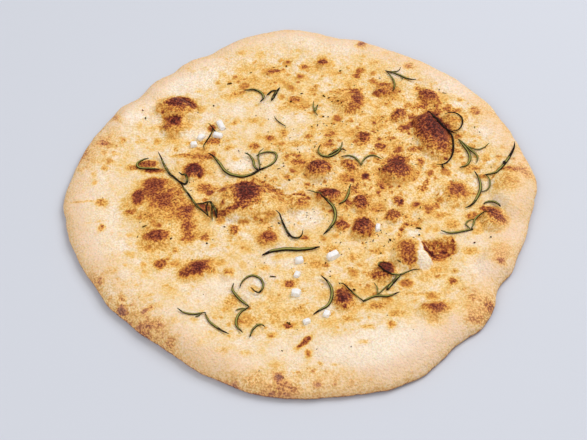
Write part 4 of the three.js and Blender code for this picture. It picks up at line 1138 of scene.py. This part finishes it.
# Each sprig: how scorched it is, then its leaves. A leaf: its width, how high its first and last ends curl up
# (0 where an end grows out of another leaf), then the seen places that it runs through.
SPRIGS: dict[str, tuple[float, tuple[tuple[Any, ...], ...]]] = {
    "sickle_far": (0.35, (
        (2.4, 1, 2.4, (-33, 88.6), (-28, 89), (-23, 87), (-20.4, 83), (-20.6, 79.6), (-22.6, 77.3)),
    )),
    "stub_pair": (0.45, (
        (3, 2, 0.4, (-9.6, 89.8), (-11.6, 86.4), (-13.4, 82.4), (-15.4, 77.8)),
        (1.8, 0, 1.6, (-11.4, 86.6), (-13.8, 87.2), (-16, 85.4), (-18.2, 82.8)),
    )),
    "tiny_fork": (0.3, (
        (1.4, 1, 0.4, (11.6, 76), (11.2, 71), (12, 66), (13.6, 62.2)),
        (1.9, 1.4, 0, (14, 72.2), (12.9, 69.4), (12, 66.4)),
    )),
    "dry_thread": (0.7, (
        (1.1, 0.4, 0.4, (-14, 63.6), (-12.4, 59.8), (-9.8, 56.6), (-6.6, 53.6)),
    )),
    "twig_in_salt": (0.7, (
        (1.2, 1.6, 0.4, (-55.4, 59.8), (-53.6, 57), (-52.6, 53.6), (-53.6, 49.4), (-56, 44), (-58, 39.6),
         (-57.2, 35.6)),
        (1.1, 0, 1, (-53, 55.2), (-51.6, 53.2), (-50.6, 51.6)),
    )),
    "long_dark": (0.62, (
        (2.1, 2.4, 0, (-86, 36), (-84, 30.6), (-81.8, 24), (-79, 17.8), (-75, 12.8), (-71.8, 9)),
        (1.9, 0.4, 0.8, (-72.4, 9.6), (-69.4, 4), (-65.6, -3), (-62, -10), (-57.6, -15.4), (-53.6, -20.4)),
        (2.1, 0, 3, (-72, 9.4), (-68.8, 7.4), (-67.6, 10.6), (-69, 15.4), (-73, 17.8)),
        (1.4, 0, 1.6, (-63, -9.4), (-58.4, -9), (-54.6, -7.8), (-52.8, -8.6), (-52.4, -15), (-52.2, -23.8)),
        (1.9, 0, 0.4, (-53.6, -8), (-51.2, -12.8), (-50, -17), (-49.6, -21.4)),
        (1.3, 0, 0, (-54.4, -7.6), (-55.8, -12), (-54.6, -19.2)),
    )),
    "curl_left": (0.3, (
        (2.3, 2.8, 0.6, (-91.6, 30.6), (-95, 29.6), (-98, 27.4), (-98.2, 24), (-94.6, 22.2), (-89.4, 21.6),
         (-84.4, 20.8)),
    )),
    "long_loop": (0.22, (
        (2.9, 1.6, 0, (-55, 33), (-51, 28.8), (-47.6, 22.8), (-44.6, 17), (-39.4, 13.2), (-33.4, 11.8),
         (-28.6, 13.4), (-24.6, 16.2)),
        (2.2, 0, 2.4, (-24.4, 16), (-26.8, 20), (-27.6, 25), (-29.6, 29.6), (-32.6, 32)),
        (2.1, 2, 0, (-26, 28.6), (-22, 31.2), (-17, 31.9), (-13.7, 30.2), (-13.4, 26), (-16, 21.6),
         (-20, 18.8), (-24.2, 16.6)),
        (1.4, 0, 2.2, (-23.8, 16.8), (-23.6, 21.4), (-24.4, 27.4), (-23.6, 32), (-21, 35.2)),
    )),
    "cup": (0.3, (
        (2.2, 2.2, 0.8, (14.2, 36.6), (12.6, 32.4), (13.2, 28.6), (16.2, 26.2), (19.8, 26), (24, 28.6),
         (26.8, 31.8), (29.8, 30)),
        (1.9, 0, 2.4, (18.4, 26.4), (22, 29.6), (25.8, 32.4), (27.2, 35), (27.6, 38.4)),
    )),
    "bird": (0.25, (
        (1.8, 1, 0.4, (26.2, 24.9), (30, 26), (34, 24.6), (36.6, 21), (38.2, 16.6)),
        (1.7, 0.4, 1, (38, 17), (39.6, 21.4), (43, 24.9), (47, 25), (50.8, 21.8)),
    )),
    "long_bent": (0.4, (
        (1.3, 0.8, 0.4, (4.4, -1.6), (8, -3), (12, -4.4), (13.6, -7.4)),
        (2.9, 0.2, 0.8, (12.4, -6.2), (15.6, -10), (18.8, -14.8), (20.4, -20.6), (19.6, -27), (16.8, -32.2),
         (12.6, -37.6)),
    )),
    "hook_right": (0.3, (
        (2.2, 2.4, 0.4, (30.6, 1.6), (29.4, -4), (28, -8.4), (25.8, -12), (22.6, -14.2)),
    )),
    "hook_dark": (0.66, (
        (2, 1, 2.4, (-14.8, -16.8), (-12.2, -20.6), (-10.4, -28), (-8.2, -34.6), (-5.4, -38.8), (-2, -39.4),
         (0.2, -36.8), (1, -32.6)),
    )),
    "flat_leaf": (0.1, (
        (3.6, 0.6, 0.6, (-23.4, -51.6), (-18, -48.8), (-12, -47.8), (-4, -48.2), (4, -48), (10.2, -47)),
    )),
    "round_loop": (0.35, (
        (2, 0.6, 2, (-36.2, -75.6), (-35, -71), (-31.4, -67), (-27, -67), (-23.7, -70.4), (-23, -75),
         (-25.2, -79), (-27.6, -78), (-30.2, -74.8)),
    )),
    "s_sprig": (0.15, (
        (2.4, 2, 0.2, (-39.6, -71.4), (-40.4, -76), (-38, -80.8), (-34.6, -85.2), (-30.8, -89.2)),
        (2.2, 0.2, 0.8, (-31, -89.2), (-35.4, -92), (-38, -97), (-38, -102), (-34.8, -106.8)),
        (1.2, 0, 0.6, (-33.4, -90.2), (-36, -90), (-38.8, -91.2)),
    )),
    "small_arc": (0.4, (
        (1.8, 0.2, 1, (-31, -110.4), (-29.4, -105.4), (-26.6, -102), (-24.2, -101.8), (-22.4, -103.6)),
    )),
    "bird_near": (0.35, (
        (1.8, 0.8, 0.3, (-71.2, -87.8), (-67.6, -91), (-63, -92.4), (-57.8, -92), (-55, -91.8)),
        (1.9, 0.3, 0.4, (-56, -91.4), (-53.4, -97.6), (-49.8, -101.8), (-46, -105), (-42.4, -107.2)),
        (1.2, 0, 0.4, (-57.4, -92), (-59, -93.6), (-61, -94.6)),
    )),
    "sickle_near": (0.3, (
        (2.6, 1.4, 0.4, (9.8, -68.4), (13, -72.6), (15.3, -78), (15.3, -84), (13, -89.8), (8.6, -93),
         (4.4, -96.2)),
    )),
    "near_sprig": (0.28, (
        (1.3, 1, 0, (19.4, -74.4), (22.4, -75.4), (25.2, -79.2), (29, -84), (32.8, -88.6)),
        (2.1, 0, 0.6, (32.4, -88.4), (37, -85.8), (41, -84.8), (45, -85.4), (49, -84.6), (53.2, -82.8)),
        (1.1, 1.8, 0, (39.4, -75.2), (41, -79), (40.8, -85)),
        (1.3, 0, 0, (40.6, -84.4), (44.6, -80), (48.4, -76.6)),
        (2.8, 0, 0.6, (46.4, -80.8), (49.4, -76.6), (52.4, -72.8), (55.2, -69.8)),
        (1.7, 1.8, 0.8, (48.6, -61.6), (45.4, -60.4), (42.9, -61.8), (45.2, -65.8), (50, -69.4), (55, -70),
         (60, -67.8), (66.2, -66.8)),
    )),
    "far_fork": (0.45, (
        (2, 0.2, 1.2, (58.6, 101.8), (64, 99.4), (70, 95.4), (74, 92.6), (78.2, 92)),
        (1.7, 0.2, 1.6, (59.4, 101.2), (62.4, 95.6), (63.9, 90), (63.6, 85.6), (62.4, 81.6)),
        (1, 0, 1.6, (61, 100.8), (65, 100.4), (68, 101.6), (69.2, 104.6)),
        (1, 0, 0.4, (68, 96.8), (69.2, 95), (69.6, 92.4)),
    )),
    "scorched_loop": (0.8, (
        (2.1, 2, 0.4, (82.8, 62.8), (86, 58), (88.6, 52.4), (91.6, 47), (95, 43.6), (98.6, 41.4)),
        (1.5, 3, 0.6, (93.2, 58.8), (97, 60.2), (101, 58.6), (103.6, 54), (102.6, 48), (99.6, 44.2),
         (95.2, 43.4)),
        (1.8, 0, 0.4, (91.6, 46.6), (94.4, 42.6), (95.8, 38.4), (95.6, 31), (94.4, 24.2), (92, 19),
         (88.4, 15.6), (83.4, 15.4)),
        (1.4, 0, 0.6, (87.4, 15.6), (87, 13.8), (87.8, 11.8)),
    )),
    "green_fan": (0.12, (
        (2.5, 0.6, 0.8, (98.8, 36.4), (101.6, 30.6), (104, 24.6), (104.4, 19), (102, 14), (97.2, 11.8)),
        (1.9, 0.6, 0.8, (99.4, 36), (103.2, 30.6), (105.6, 26.4), (108.4, 22.4), (109.2, 19.4),
         (108, 15.2)),
        (1.3, 0, 1.6, (103, 31), (107, 27.6), (110.6, 26.6), (114.2, 28.2), (117.8, 31.8)),
    )),
    "edge_sprig": (0.3, (
        (2.7, 1.6, 0.2, (133.4, 32), (132.2, 26.6), (129.2, 20.6), (125.6, 14.8), (121.2, 9.4), (116.6, 6),
         (111.4, 4.8)),
        (1.5, 0.2, 0.4, (111.8, 5.4), (114, 1.6), (113.6, -4), (111.4, -7.6), (107, -9.4)),
        (2.6, 1, 0.6, (105.8, 8.8), (107.6, 3), (108.2, -3), (107, -9), (104, -15), (101.4, -18.6),
         (97, -21)),
        (1.3, 0, 0.8, (126.6, 16), (125, 15.8), (123.8, 14.6)),
    )),
    "short_arc": (0.3, (
        (2.2, 0.6, 1, (107.8, -18.8), (111, -16.9), (114.6, -17.4), (117.8, -21.4)),
    )),
    "folded_sprig": (0.22, (
        (1.8, 1.2, 0.2, (109.8, -24.8), (106, -26.6), (102, -30), (100, -35), (98.2, -38.6)),
        (1.5, 0.2, 0.2, (101.6, -30.6), (97.4, -31.6), (96, -34.6), (98.4, -38.6)),
        (2, 0, 0.8, (99.6, -38.2), (93, -39.6), (87, -40.4), (80.8, -38.2)),
    )),
}

# Where leaves are scorched black: seen middle, half length, half width, turn, strength.
SCORCHED: tuple[Spot, ...] = (
    (131.4, 27, 4.5, 9.5, -20, 1.0), (124, 14.6, 3, 2, 0, 1.0), (48.5, -64.5, 8, 5.5, 0, 0.9),
    (24, -78, 6, 5, -45, 0.75), (11.5, -70.5, 4, 4, 0, 0.75), (5, -95.5, 4, 3, 0, 0.8),
    (-21, -50.5, 4, 2.4, 0, 0.75), (9.5, -47, 3, 2, 0, 0.7), (78, 92, 7, 4, 0, 0.85),
    (88, 13.6, 6, 4, 0, 1.0), (-20.6, 78, 3, 4, 0, 0.7), (-13, 85, 4, 7, -60, 0.75),
    (103, -18, 6, 3, 30, 0.65), (52, -74, 4, 3, 45, 0.6), (53, -83, 4, 2, 0, 0.6), (-70, -89, 5, 3, 0, 0.7),
    (-45, -105, 6, 3, -30, 0.6), (118, -21, 4, 3, 0, 0.6), (-50, 29, 6, 6, 0, 0.4), (30, 1, 3, 3, 0, 0.6),
)


@dataclass
class Rosemary:
    """Roasted rosemary: needles modelled once as a straight grooved leaf and bent along their places."""

    crust: Crust
    finish: LeafFinish
    steps: int = 30
    rise: float = 0.55
    thickness: float = 0.42
    free_end: float = 0.12
    joined_end: float = 0.7
    path_step: float = 1.1
    slim: float = 0.68
    clearance: float = 0.9  # how far round a leaf's middle line the crust is felt for its highest place
    section: tuple[Place, ...] = (  # across and up, round the leaf
        (1.0, 0.0), (0.93, 0.34), (0.64, 0.52), (0.24, 0.46), (0.0, 0.28), (-0.24, 0.46), (-0.64, 0.52),
        (-0.93, 0.34), (-1.0, 0.0), (-0.86, -0.34), (-0.42, -0.3), (0.0, -0.44), (0.42, -0.3), (0.86, -0.34),
    )

    def build(self) -> None:
        """Build and dress every sprig."""
        material = self.finish.material()
        straight = self._straight()
        for name, (char, leaves) in SPRIGS.items():
            made = [self._leaf(straight, f"{name}_{i}", leaf, char) for i, leaf in enumerate(leaves)]
            wake(made[0])
            for leaf in made[1:]:
                leaf.select_set(True)
            if len(made) > 1:
                bpy.ops.object.join()
            piece = made[0]
            piece.name = piece.data.name = f"sprig_{name}"
            node = f"rosemary_{name}"
            settle_in(piece, material, [node])
        bpy.data.objects.remove(straight)

    def _straight(self) -> bpy.types.Object:
        """Model one straight leaf with a dip along the middle above and a rib below.

        Returns:
            The leaf, from 0 to 1 along X.
        """
        bpy.ops.object.select_all(action="DESELECT")
        bpy.ops.mesh.primitive_circle_add(vertices=len(self.section), radius=1.0, fill_type="NGON")
        leaf = bpy.context.object
        leaf.name = "straight_leaf"
        place(leaf, np.array([(0.0, y, z) for y, z in self.section]))
        bpy.ops.object.mode_set(mode="EDIT")
        bpy.ops.mesh.select_all(action="SELECT")
        for _ in range(self.steps):
            move = {"value": (1 / self.steps, 0, 0)}
            bpy.ops.mesh.extrude_region_move(TRANSFORM_OT_translate=move)
        bpy.ops.mesh.select_all(action="SELECT")
        bpy.ops.mesh.normals_make_consistent(inside=False)
        bpy.ops.object.mode_set(mode="OBJECT")
        return leaf

    def _path(self, seen: Sequence[Place], lifts: tuple[float, float]) -> np.ndarray:
        """Lay a smooth line through places on the crust.

        Args:
            seen: The places as they are seen.
            lifts: How high its first and last ends curl up.

        Returns:
            Rows of x, y and z along it.
        """
        x, y, _ = self.crust.settle(seen)
        points = np.stack([x, y], 1)
        ends = np.vstack([2 * points[0] - points[1], points, 2 * points[-1] - points[-2]])
        line = []
        for a, b, c, d in zip(ends, ends[1:], ends[2:], ends[3:]):
            line.extend(curved(a, b, c, d, t) for t in np.linspace(0, 1, 12, endpoint=False))
        line = np.array([*line, points[-1]])
        run = np.concatenate([[0], np.cumsum(np.hypot(*np.diff(line, axis=0).T))])
        count = max(6, round(run[-1] / self.path_step))
        at = np.linspace(0, run[-1], count)
        x, y = np.interp(at, run, line[:, 0]), np.interp(at, run, line[:, 1])
        share = at / run[-1]
        lift = lifts[0] * np.clip(1 - share / 0.4, 0, 1) ** 2
        lift = lift + lifts[1] * np.clip((share - 0.6) / 0.4, 0, 1) ** 2
        sight = SIGHT.seen(x, y, self.crust.height(x, y))
        turns = np.arange(0, 2 * math.pi, 1.05)
        near = [(self.clearance * math.cos(turn), self.clearance * math.sin(turn)) for turn in turns]
        for _ in range(3):
            z = np.max([self.crust.height(x + dx, y + dy) for dx, dy in ((0, 0), *near)], axis=0)
            z = np.convolve(np.pad(z, 1, mode="edge"), (0.25, 0.5, 0.25), "valid") + self.rise + lift
            x, y = SIGHT.along(*sight, z)
        return np.stack([x - self.crust.middle[0], y - self.crust.middle[1], z], 1)

    def _leaf(
        self, straight: bpy.types.Object, name: str, leaf: tuple[Any, ...], char: float
    ) -> bpy.types.Object:
        """Copy the straight leaf, taper it and bend it along its places.

        Args:
            straight: The straight leaf.
            name: The new leaf's name.
            leaf: Its row of the table.
            char: How scorched it is all over.

        Returns:
            The bent leaf.
        """
        width, first, last, *seen = leaf
        piece = bpy.data.objects.new(name, straight.data.copy())
        bpy.context.scene.collection.objects.link(piece)
        rows = places(piece)
        along, across = rows[:, 0].copy(), rows[:, 1].copy()
        tips = [self.joined_end if lift == 0 else self.free_end for lift in (first, last)]
        tip = tips[0] + (tips[1] - tips[0]) * along
        full = tip + (1 - tip) * np.sin(np.pi * np.clip(along, 0, 1)) ** 0.62
        rows[:, 1] *= self.slim * width / 2 * full
        rows[:, 2] *= max(0.56, self.thickness * width) * (0.35 + 0.65 * full)
        path = self._path(seen, (first, last))
        length = float(np.sum(np.linalg.norm(np.diff(path, axis=0), axis=1)))
        rows[:, 0] *= length
        place(piece, rows * MM)
        carry(piece, "along", along)
        carry(piece, "across", across)
        self._bend(piece, path)
        bent = places(piece) / MM
        seen_x, seen_y = SIGHT.seen(*(bent[:, :2] + self.crust.middle).T, bent[:, 2])
        chars = np.full(len(bent), char)
        for spot in SCORCHED:
            q = ellipse(seen_x, seen_y, spot[:2], spot)
            chars = np.maximum(chars, spot[5] * (1 - smooth(0.6, 1.1, q)))
        carry(piece, "char", chars)
        return piece

    @staticmethod
    def _bend(piece: bpy.types.Object, path: np.ndarray) -> None:
        """Bend a straight piece along a path with a Curve modifier.

        Args:
            piece: The piece, along X.
            path: Rows of x, y and z.
        """
        curve = bpy.data.curves.new(piece.name + "_path", "CURVE")
        curve.dimensions = "3D"
        curve.twist_mode = "Z_UP"
        curve.use_stretch = True
        curve.use_deform_bounds = True
        spline = curve.splines.new("POLY")
        spline.points.add(len(path) - 1)
        spline.points.foreach_set("co", np.hstack([path * MM, np.ones((len(path), 1))]).ravel())
        guide = bpy.data.objects.new(piece.name + "_path", curve)
        bpy.context.scene.collection.objects.link(guide)
        bend = piece.modifiers.new("bend", "CURVE")
        bend.object = guide
        bend.deform_axis = "POS_X"
        wake(piece)
        bpy.ops.object.modifier_apply(modifier="bend")
        bpy.ops.object.shade_smooth()
        bpy.data.objects.remove(guide)


# ---------------------------------------------------------------- salt, pepper and herbs

# Grains: seen place, length, width, height, turn in degrees.
SALT: tuple[Spot, ...] = (
    (-64, 40.5, 4.4, 4, 3, 10), (-59.6, 46.5, 5.2, 3.6, 3, 55), (-49.2, 47.6, 6.4, 3.6, 3, -30),
    (-47.3, 56.5, 9, 4, 3, -62), (17.4, -54.6, 8, 5, 4, 22), (-2, -57, 5, 4.8, 3.4, 0),
    (-3.6, -67.6, 4.6, 3.4, 3, 70), (-4.6, -81, 5.6, 4.8, 3.6, -10), (11.8, -96.6, 4.8, 3.8, 2.8, 60),
    (0.6, -101.2, 4.6, 3.6, 2.6, 15), (44.6, -34.2, 5.6, 3, 2.6, 72),
)


@dataclass
class Salt:
    """Grains of coarse salt, each a chipped block half sunk in the crust."""

    crust: Crust
    finish: SaltFinish
    sunk: float = 0.3
    chips: float = 0.035
    seed: int = 5

    def build(self) -> None:
        """Build and dress the grains as one piece."""
        draw = np.random.default_rng(self.seed)
        made = [self._grain(grain, draw) for grain in SALT]
        wake(made[0])
        for grain in made[1:]:
            grain.select_set(True)
        bpy.ops.object.join()
        made[0].name = made[0].data.name = "salt_grains"
        settle_in(made[0], self.finish.material())

    def _grain(self, grain: Spot, draw: np.random.Generator) -> bpy.types.Object:
        """Chip one grain out of a cube.

        Args:
            grain: Its row of the table.
            draw: What its chips are drawn from.

        Returns:
            The grain.
        """
        bpy.ops.object.select_all(action="DESELECT")
        bpy.ops.mesh.primitive_cube_add(size=1.0)
        piece = bpy.context.object
        bpy.ops.object.mode_set(mode="EDIT")
        bpy.ops.mesh.select_all(action="SELECT")
        bpy.ops.mesh.bevel(offset=0.24, segments=2, profile=0.6)
        bpy.ops.mesh.subdivide(number_cuts=1)
        bpy.ops.object.mode_set(mode="OBJECT")
        rows = places(piece)
        rows += draw.normal(0, self.chips, rows.shape)
        rows[:, :2] *= 1 - 0.22 * (rows[:, 2:3] + 0.5) * draw.uniform(0.4, 1.4, 2)
        seen_x, seen_y, length, width, height, turn = grain
        x, y, z = (float(v[0]) for v in self.crust.settle([(seen_x, seen_y)]))
        rows *= (length, width, height)
        turned = np.radians(turn + draw.uniform(-8, 8))
        spin = np.array([[math.cos(turned), -math.sin(turned)], [math.sin(turned), math.cos(turned)]])
        rows[:, :2] = rows[:, :2] @ spin.T
        rows += (x - self.crust.middle[0], y - self.crust.middle[1], z + height * (0.5 - self.sunk))
        place(piece, rows * MM)
        bpy.ops.object.shade_smooth_by_angle(angle=math.radians(28))
        return piece


class Kind(Enum):
    """The two kinds of fleck."""

    PEPPER = "pepper_flecks"
    HERB = "herb_flecks"


# Flecks that stand out, as they are seen.
MARKED: tuple[Place, ...] = (
    (-42, 95), (-5, 109.5), (-13, 109), (-52, 75), (-62, 69.5), (-97, 73.5), (-95, 66), (-3, 76), (4, 83),
    (18, 80), (21, 78), (23, 74.5), (27, 75), (29, 73), (17, 54.5), (13, 53.5), (17, 61), (20, 60.5),
    (30, 103), (-9, 19), (-6, 7), (-45, -28.5), (-13, -27.5), (-76, -36), (-92, -25.5), (-92, -16),
    (-55, -41), (-17, -68), (-22, -57.5), (13, -59.5), (41, -44), (45, -54), (51, -44), (55, -60.5),
    (99, -49), (109, -45), (-13.5, -120.5), (24, -119.5), (-10, -101.5), (-9, -102), (28, -80), (92, 81.5),
    (95, 78), (113, 41.5), (15, -69.5), (68.4, -36), (68, -41),
)

# Where finer ones are strewn: middle, half width, half height, how many.
STREWN: tuple[Spot, ...] = (
    (22, 20, 60, 66, 170), (-30, 0, 62, 52, 60), (40, -40, 46, 30, 70), (80, 30, 40, 46, 40),
    (0, 0, 125, 128, 90),
)


@dataclass
class Flecks:
    """Crushed pepper and dried herb, as small chipped bits on the crust."""

    crust: Crust
    kind: Kind
    finish: FleckFinish
    seed: int
    share: float  # of the places in STREWN that are this kind's
    size: Place  # the smallest and the largest
    flat: float  # thickness as a share of the size
    rim: float = 8.0
    marked_size: float = 2.1

    def build(self) -> None:
        """Strew, join and dress the flecks."""
        draw = np.random.default_rng(self.seed)
        chip, faces = self._chip()
        herb = self.kind is Kind.HERB
        seen = [(x, y, self.marked_size) for i, (x, y) in enumerate(MARKED) if (i % 3 == 0) == herb]
        for x, y, half_x, half_y, count in STREWN:
            for _ in range(round(count * self.share)):
                dx, dy = draw.normal(0, 0.5, 2)
                seen.append((x + half_x * dx, y + half_y * dy, 1.0))
        x, y, z = self.crust.settle([row[:2] for row in seen])
        inward = self.crust.inward(x, y)
        rows, polygons = [], []
        for (_, _, grow), bx, by, bz, inside in zip(seen, x, y, z, inward):
            size = draw.uniform(*self.size) * grow
            long = draw.uniform(1.0, 2.4 if herb else 1.4)
            turn = Matrix.Rotation(draw.uniform(0, 6.28), 3, "Z")
            turn = turn @ Matrix.Rotation(draw.normal(0, 0.25), 3, "X")
            jitter = draw.normal(0, 0.12, chip.shape)
            if inside < self.rim:
                continue
            body = (chip + jitter) * (size * long, size / long**0.5, size * self.flat) @ np.array(turn).T
            middle = (bx - self.crust.middle[0], by - self.crust.middle[1], bz + size * self.flat * 0.3)
            polygons.append(faces + len(rows) * len(chip))
            rows.append(body + middle)
        mesh = bpy.data.meshes.new(self.kind.value)
        mesh.from_pydata((np.vstack(rows) * MM).tolist(), [], np.vstack(polygons).tolist())
        piece = bpy.data.objects.new(self.kind.value, mesh)
        bpy.context.scene.collection.objects.link(piece)
        settle_in(piece, self.finish.material())

    @staticmethod
    def _chip() -> tuple[np.ndarray, np.ndarray]:
        """Model one chip.

        Returns:
            Its vertices and its faces.
        """
        bpy.ops.object.select_all(action="DESELECT")
        bpy.ops.mesh.primitive_ico_sphere_add(subdivisions=1, radius=0.5)
        chip = bpy.context.object
        rows = places(chip)
        faces = np.array([list(face.vertices) for face in chip.data.polygons])
        bpy.data.objects.remove(chip)
        return rows, faces


# ---------------------------------------------------------------- studio


@dataclass
class Studio:
    """The plain floor, the soft lights and the camera."""

    crust: Crust
    elevation: float = 47.91
    roll: float = -2.36
    focal: float = 1400.0
    width: float = 587.0
    distance: float = 831.3
    target: Place = (-4.4, -19.0)
    floor_colour: tuple[float, ...] = rgb(208, 214.5, 227)
    key: tuple[float, ...] = (1150, 750, 1550, 1200, 27.2)  # place, size and watts
    fill: tuple[float, ...] = (-1000, -1000, 1200, 1400, 11.0)
    lamp_colour: tuple[float, ...] = (1.0, 0.97, 0.95)
    sky: float = 0.46
    sky_colour: tuple[float, ...] = (1.0, 0.96, 0.915, 1.0)

    def build(self) -> None:
        """Set up the floor, lights, sky and camera."""
        bpy.ops.object.select_all(action="DESELECT")
        bpy.ops.mesh.primitive_plane_add(size=6.0, location=(0, 0, 0))
        floor = bpy.context.object
        floor.name = "floor"
        s = Shader("pale_floor")
        matt = s.finish(Base_Color=self.floor_colour, Roughness=0.85, Specular_IOR_Level=0.2)
        floor.data.materials.append(matt)
        self._lamp("key_light", self.key)
        self._lamp("fill_light", self.fill)
        world = bpy.data.worlds.new("soft_sky")
        world.use_nodes = True
        background = world.node_tree.nodes["Background"]
        background.inputs["Color"].default_value = self.sky_colour
        background.inputs["Strength"].default_value = self.sky
        bpy.context.scene.world = world
        bpy.context.scene.view_settings.view_transform = "Standard"
        bpy.context.scene.view_settings.look = "None"
        self._camera()

    def _lamp(self, name: str, lamp: tuple[float, ...]) -> None:
        """Hang a square soft light that looks at the bread.

        Args:
            name: Its name.
            lamp: Its place, size and power.
        """
        x, y, z, size, power = lamp
        light = bpy.data.lights.new(name, "AREA")
        light.size = size * MM
        light.energy = power
        light.color = self.lamp_colour
        holder = bpy.data.objects.new(name, light)
        holder.location = Vector((x, y, z)) * MM
        holder.rotation_euler = (-holder.location).to_track_quat("-Z", "Y").to_euler()
        bpy.context.scene.collection.objects.link(holder)

    def _camera(self) -> None:
        """Place the camera at the photograph's angle, with its slight roll."""
        lift, roll = math.radians(self.elevation), math.radians(self.roll)
        back = Vector((0, -math.cos(lift), math.sin(lift)))
        right = Vector((1, 0, 0))
        up = back.cross(right)
        turned_right = right * math.cos(roll) + up * math.sin(roll)
        turned_up = up * math.cos(roll) - right * math.sin(roll)
        camera = bpy.data.cameras.new("camera")
        camera.sensor_width = 36.0
        camera.lens = 36.0 * self.focal / self.width
        camera.clip_end = 20.0
        holder = bpy.data.objects.new("camera", camera)
        axes = Matrix((turned_right, turned_up, back)).transposed().to_4x4()
        target = Vector((self.target[0] - self.crust.middle[0], self.target[1] - self.crust.middle[1], 0))
        axes.translation = (target + back * self.distance) * MM
        holder.matrix_world = axes
        bpy.context.scene.collection.objects.link(holder)
        bpy.context.scene.camera = holder


def main() -> None:
    """Build the bread, its toppings and the studio."""
    crust = Crust()
    Bread(crust, CrustFinish()).build()
    Rosemary(crust, LeafFinish()).build()
    Salt(crust, SaltFinish()).build()
    pepper = FleckFinish("crushed_pepper", rgb(74, 36, 12), rgb(34, 15, 6))
    herb = FleckFinish("dried_herb", rgb(92, 68, 22), rgb(48, 32, 12))
    Flecks(crust, Kind.PEPPER, pepper, 11, 0.6, (0.35, 0.75), 0.6).build()
    Flecks(crust, Kind.HERB, herb, 12, 0.4, (0.5, 0.95), 0.4).build()
    Studio(crust).build()


if __name__ == "__main__":
    main()
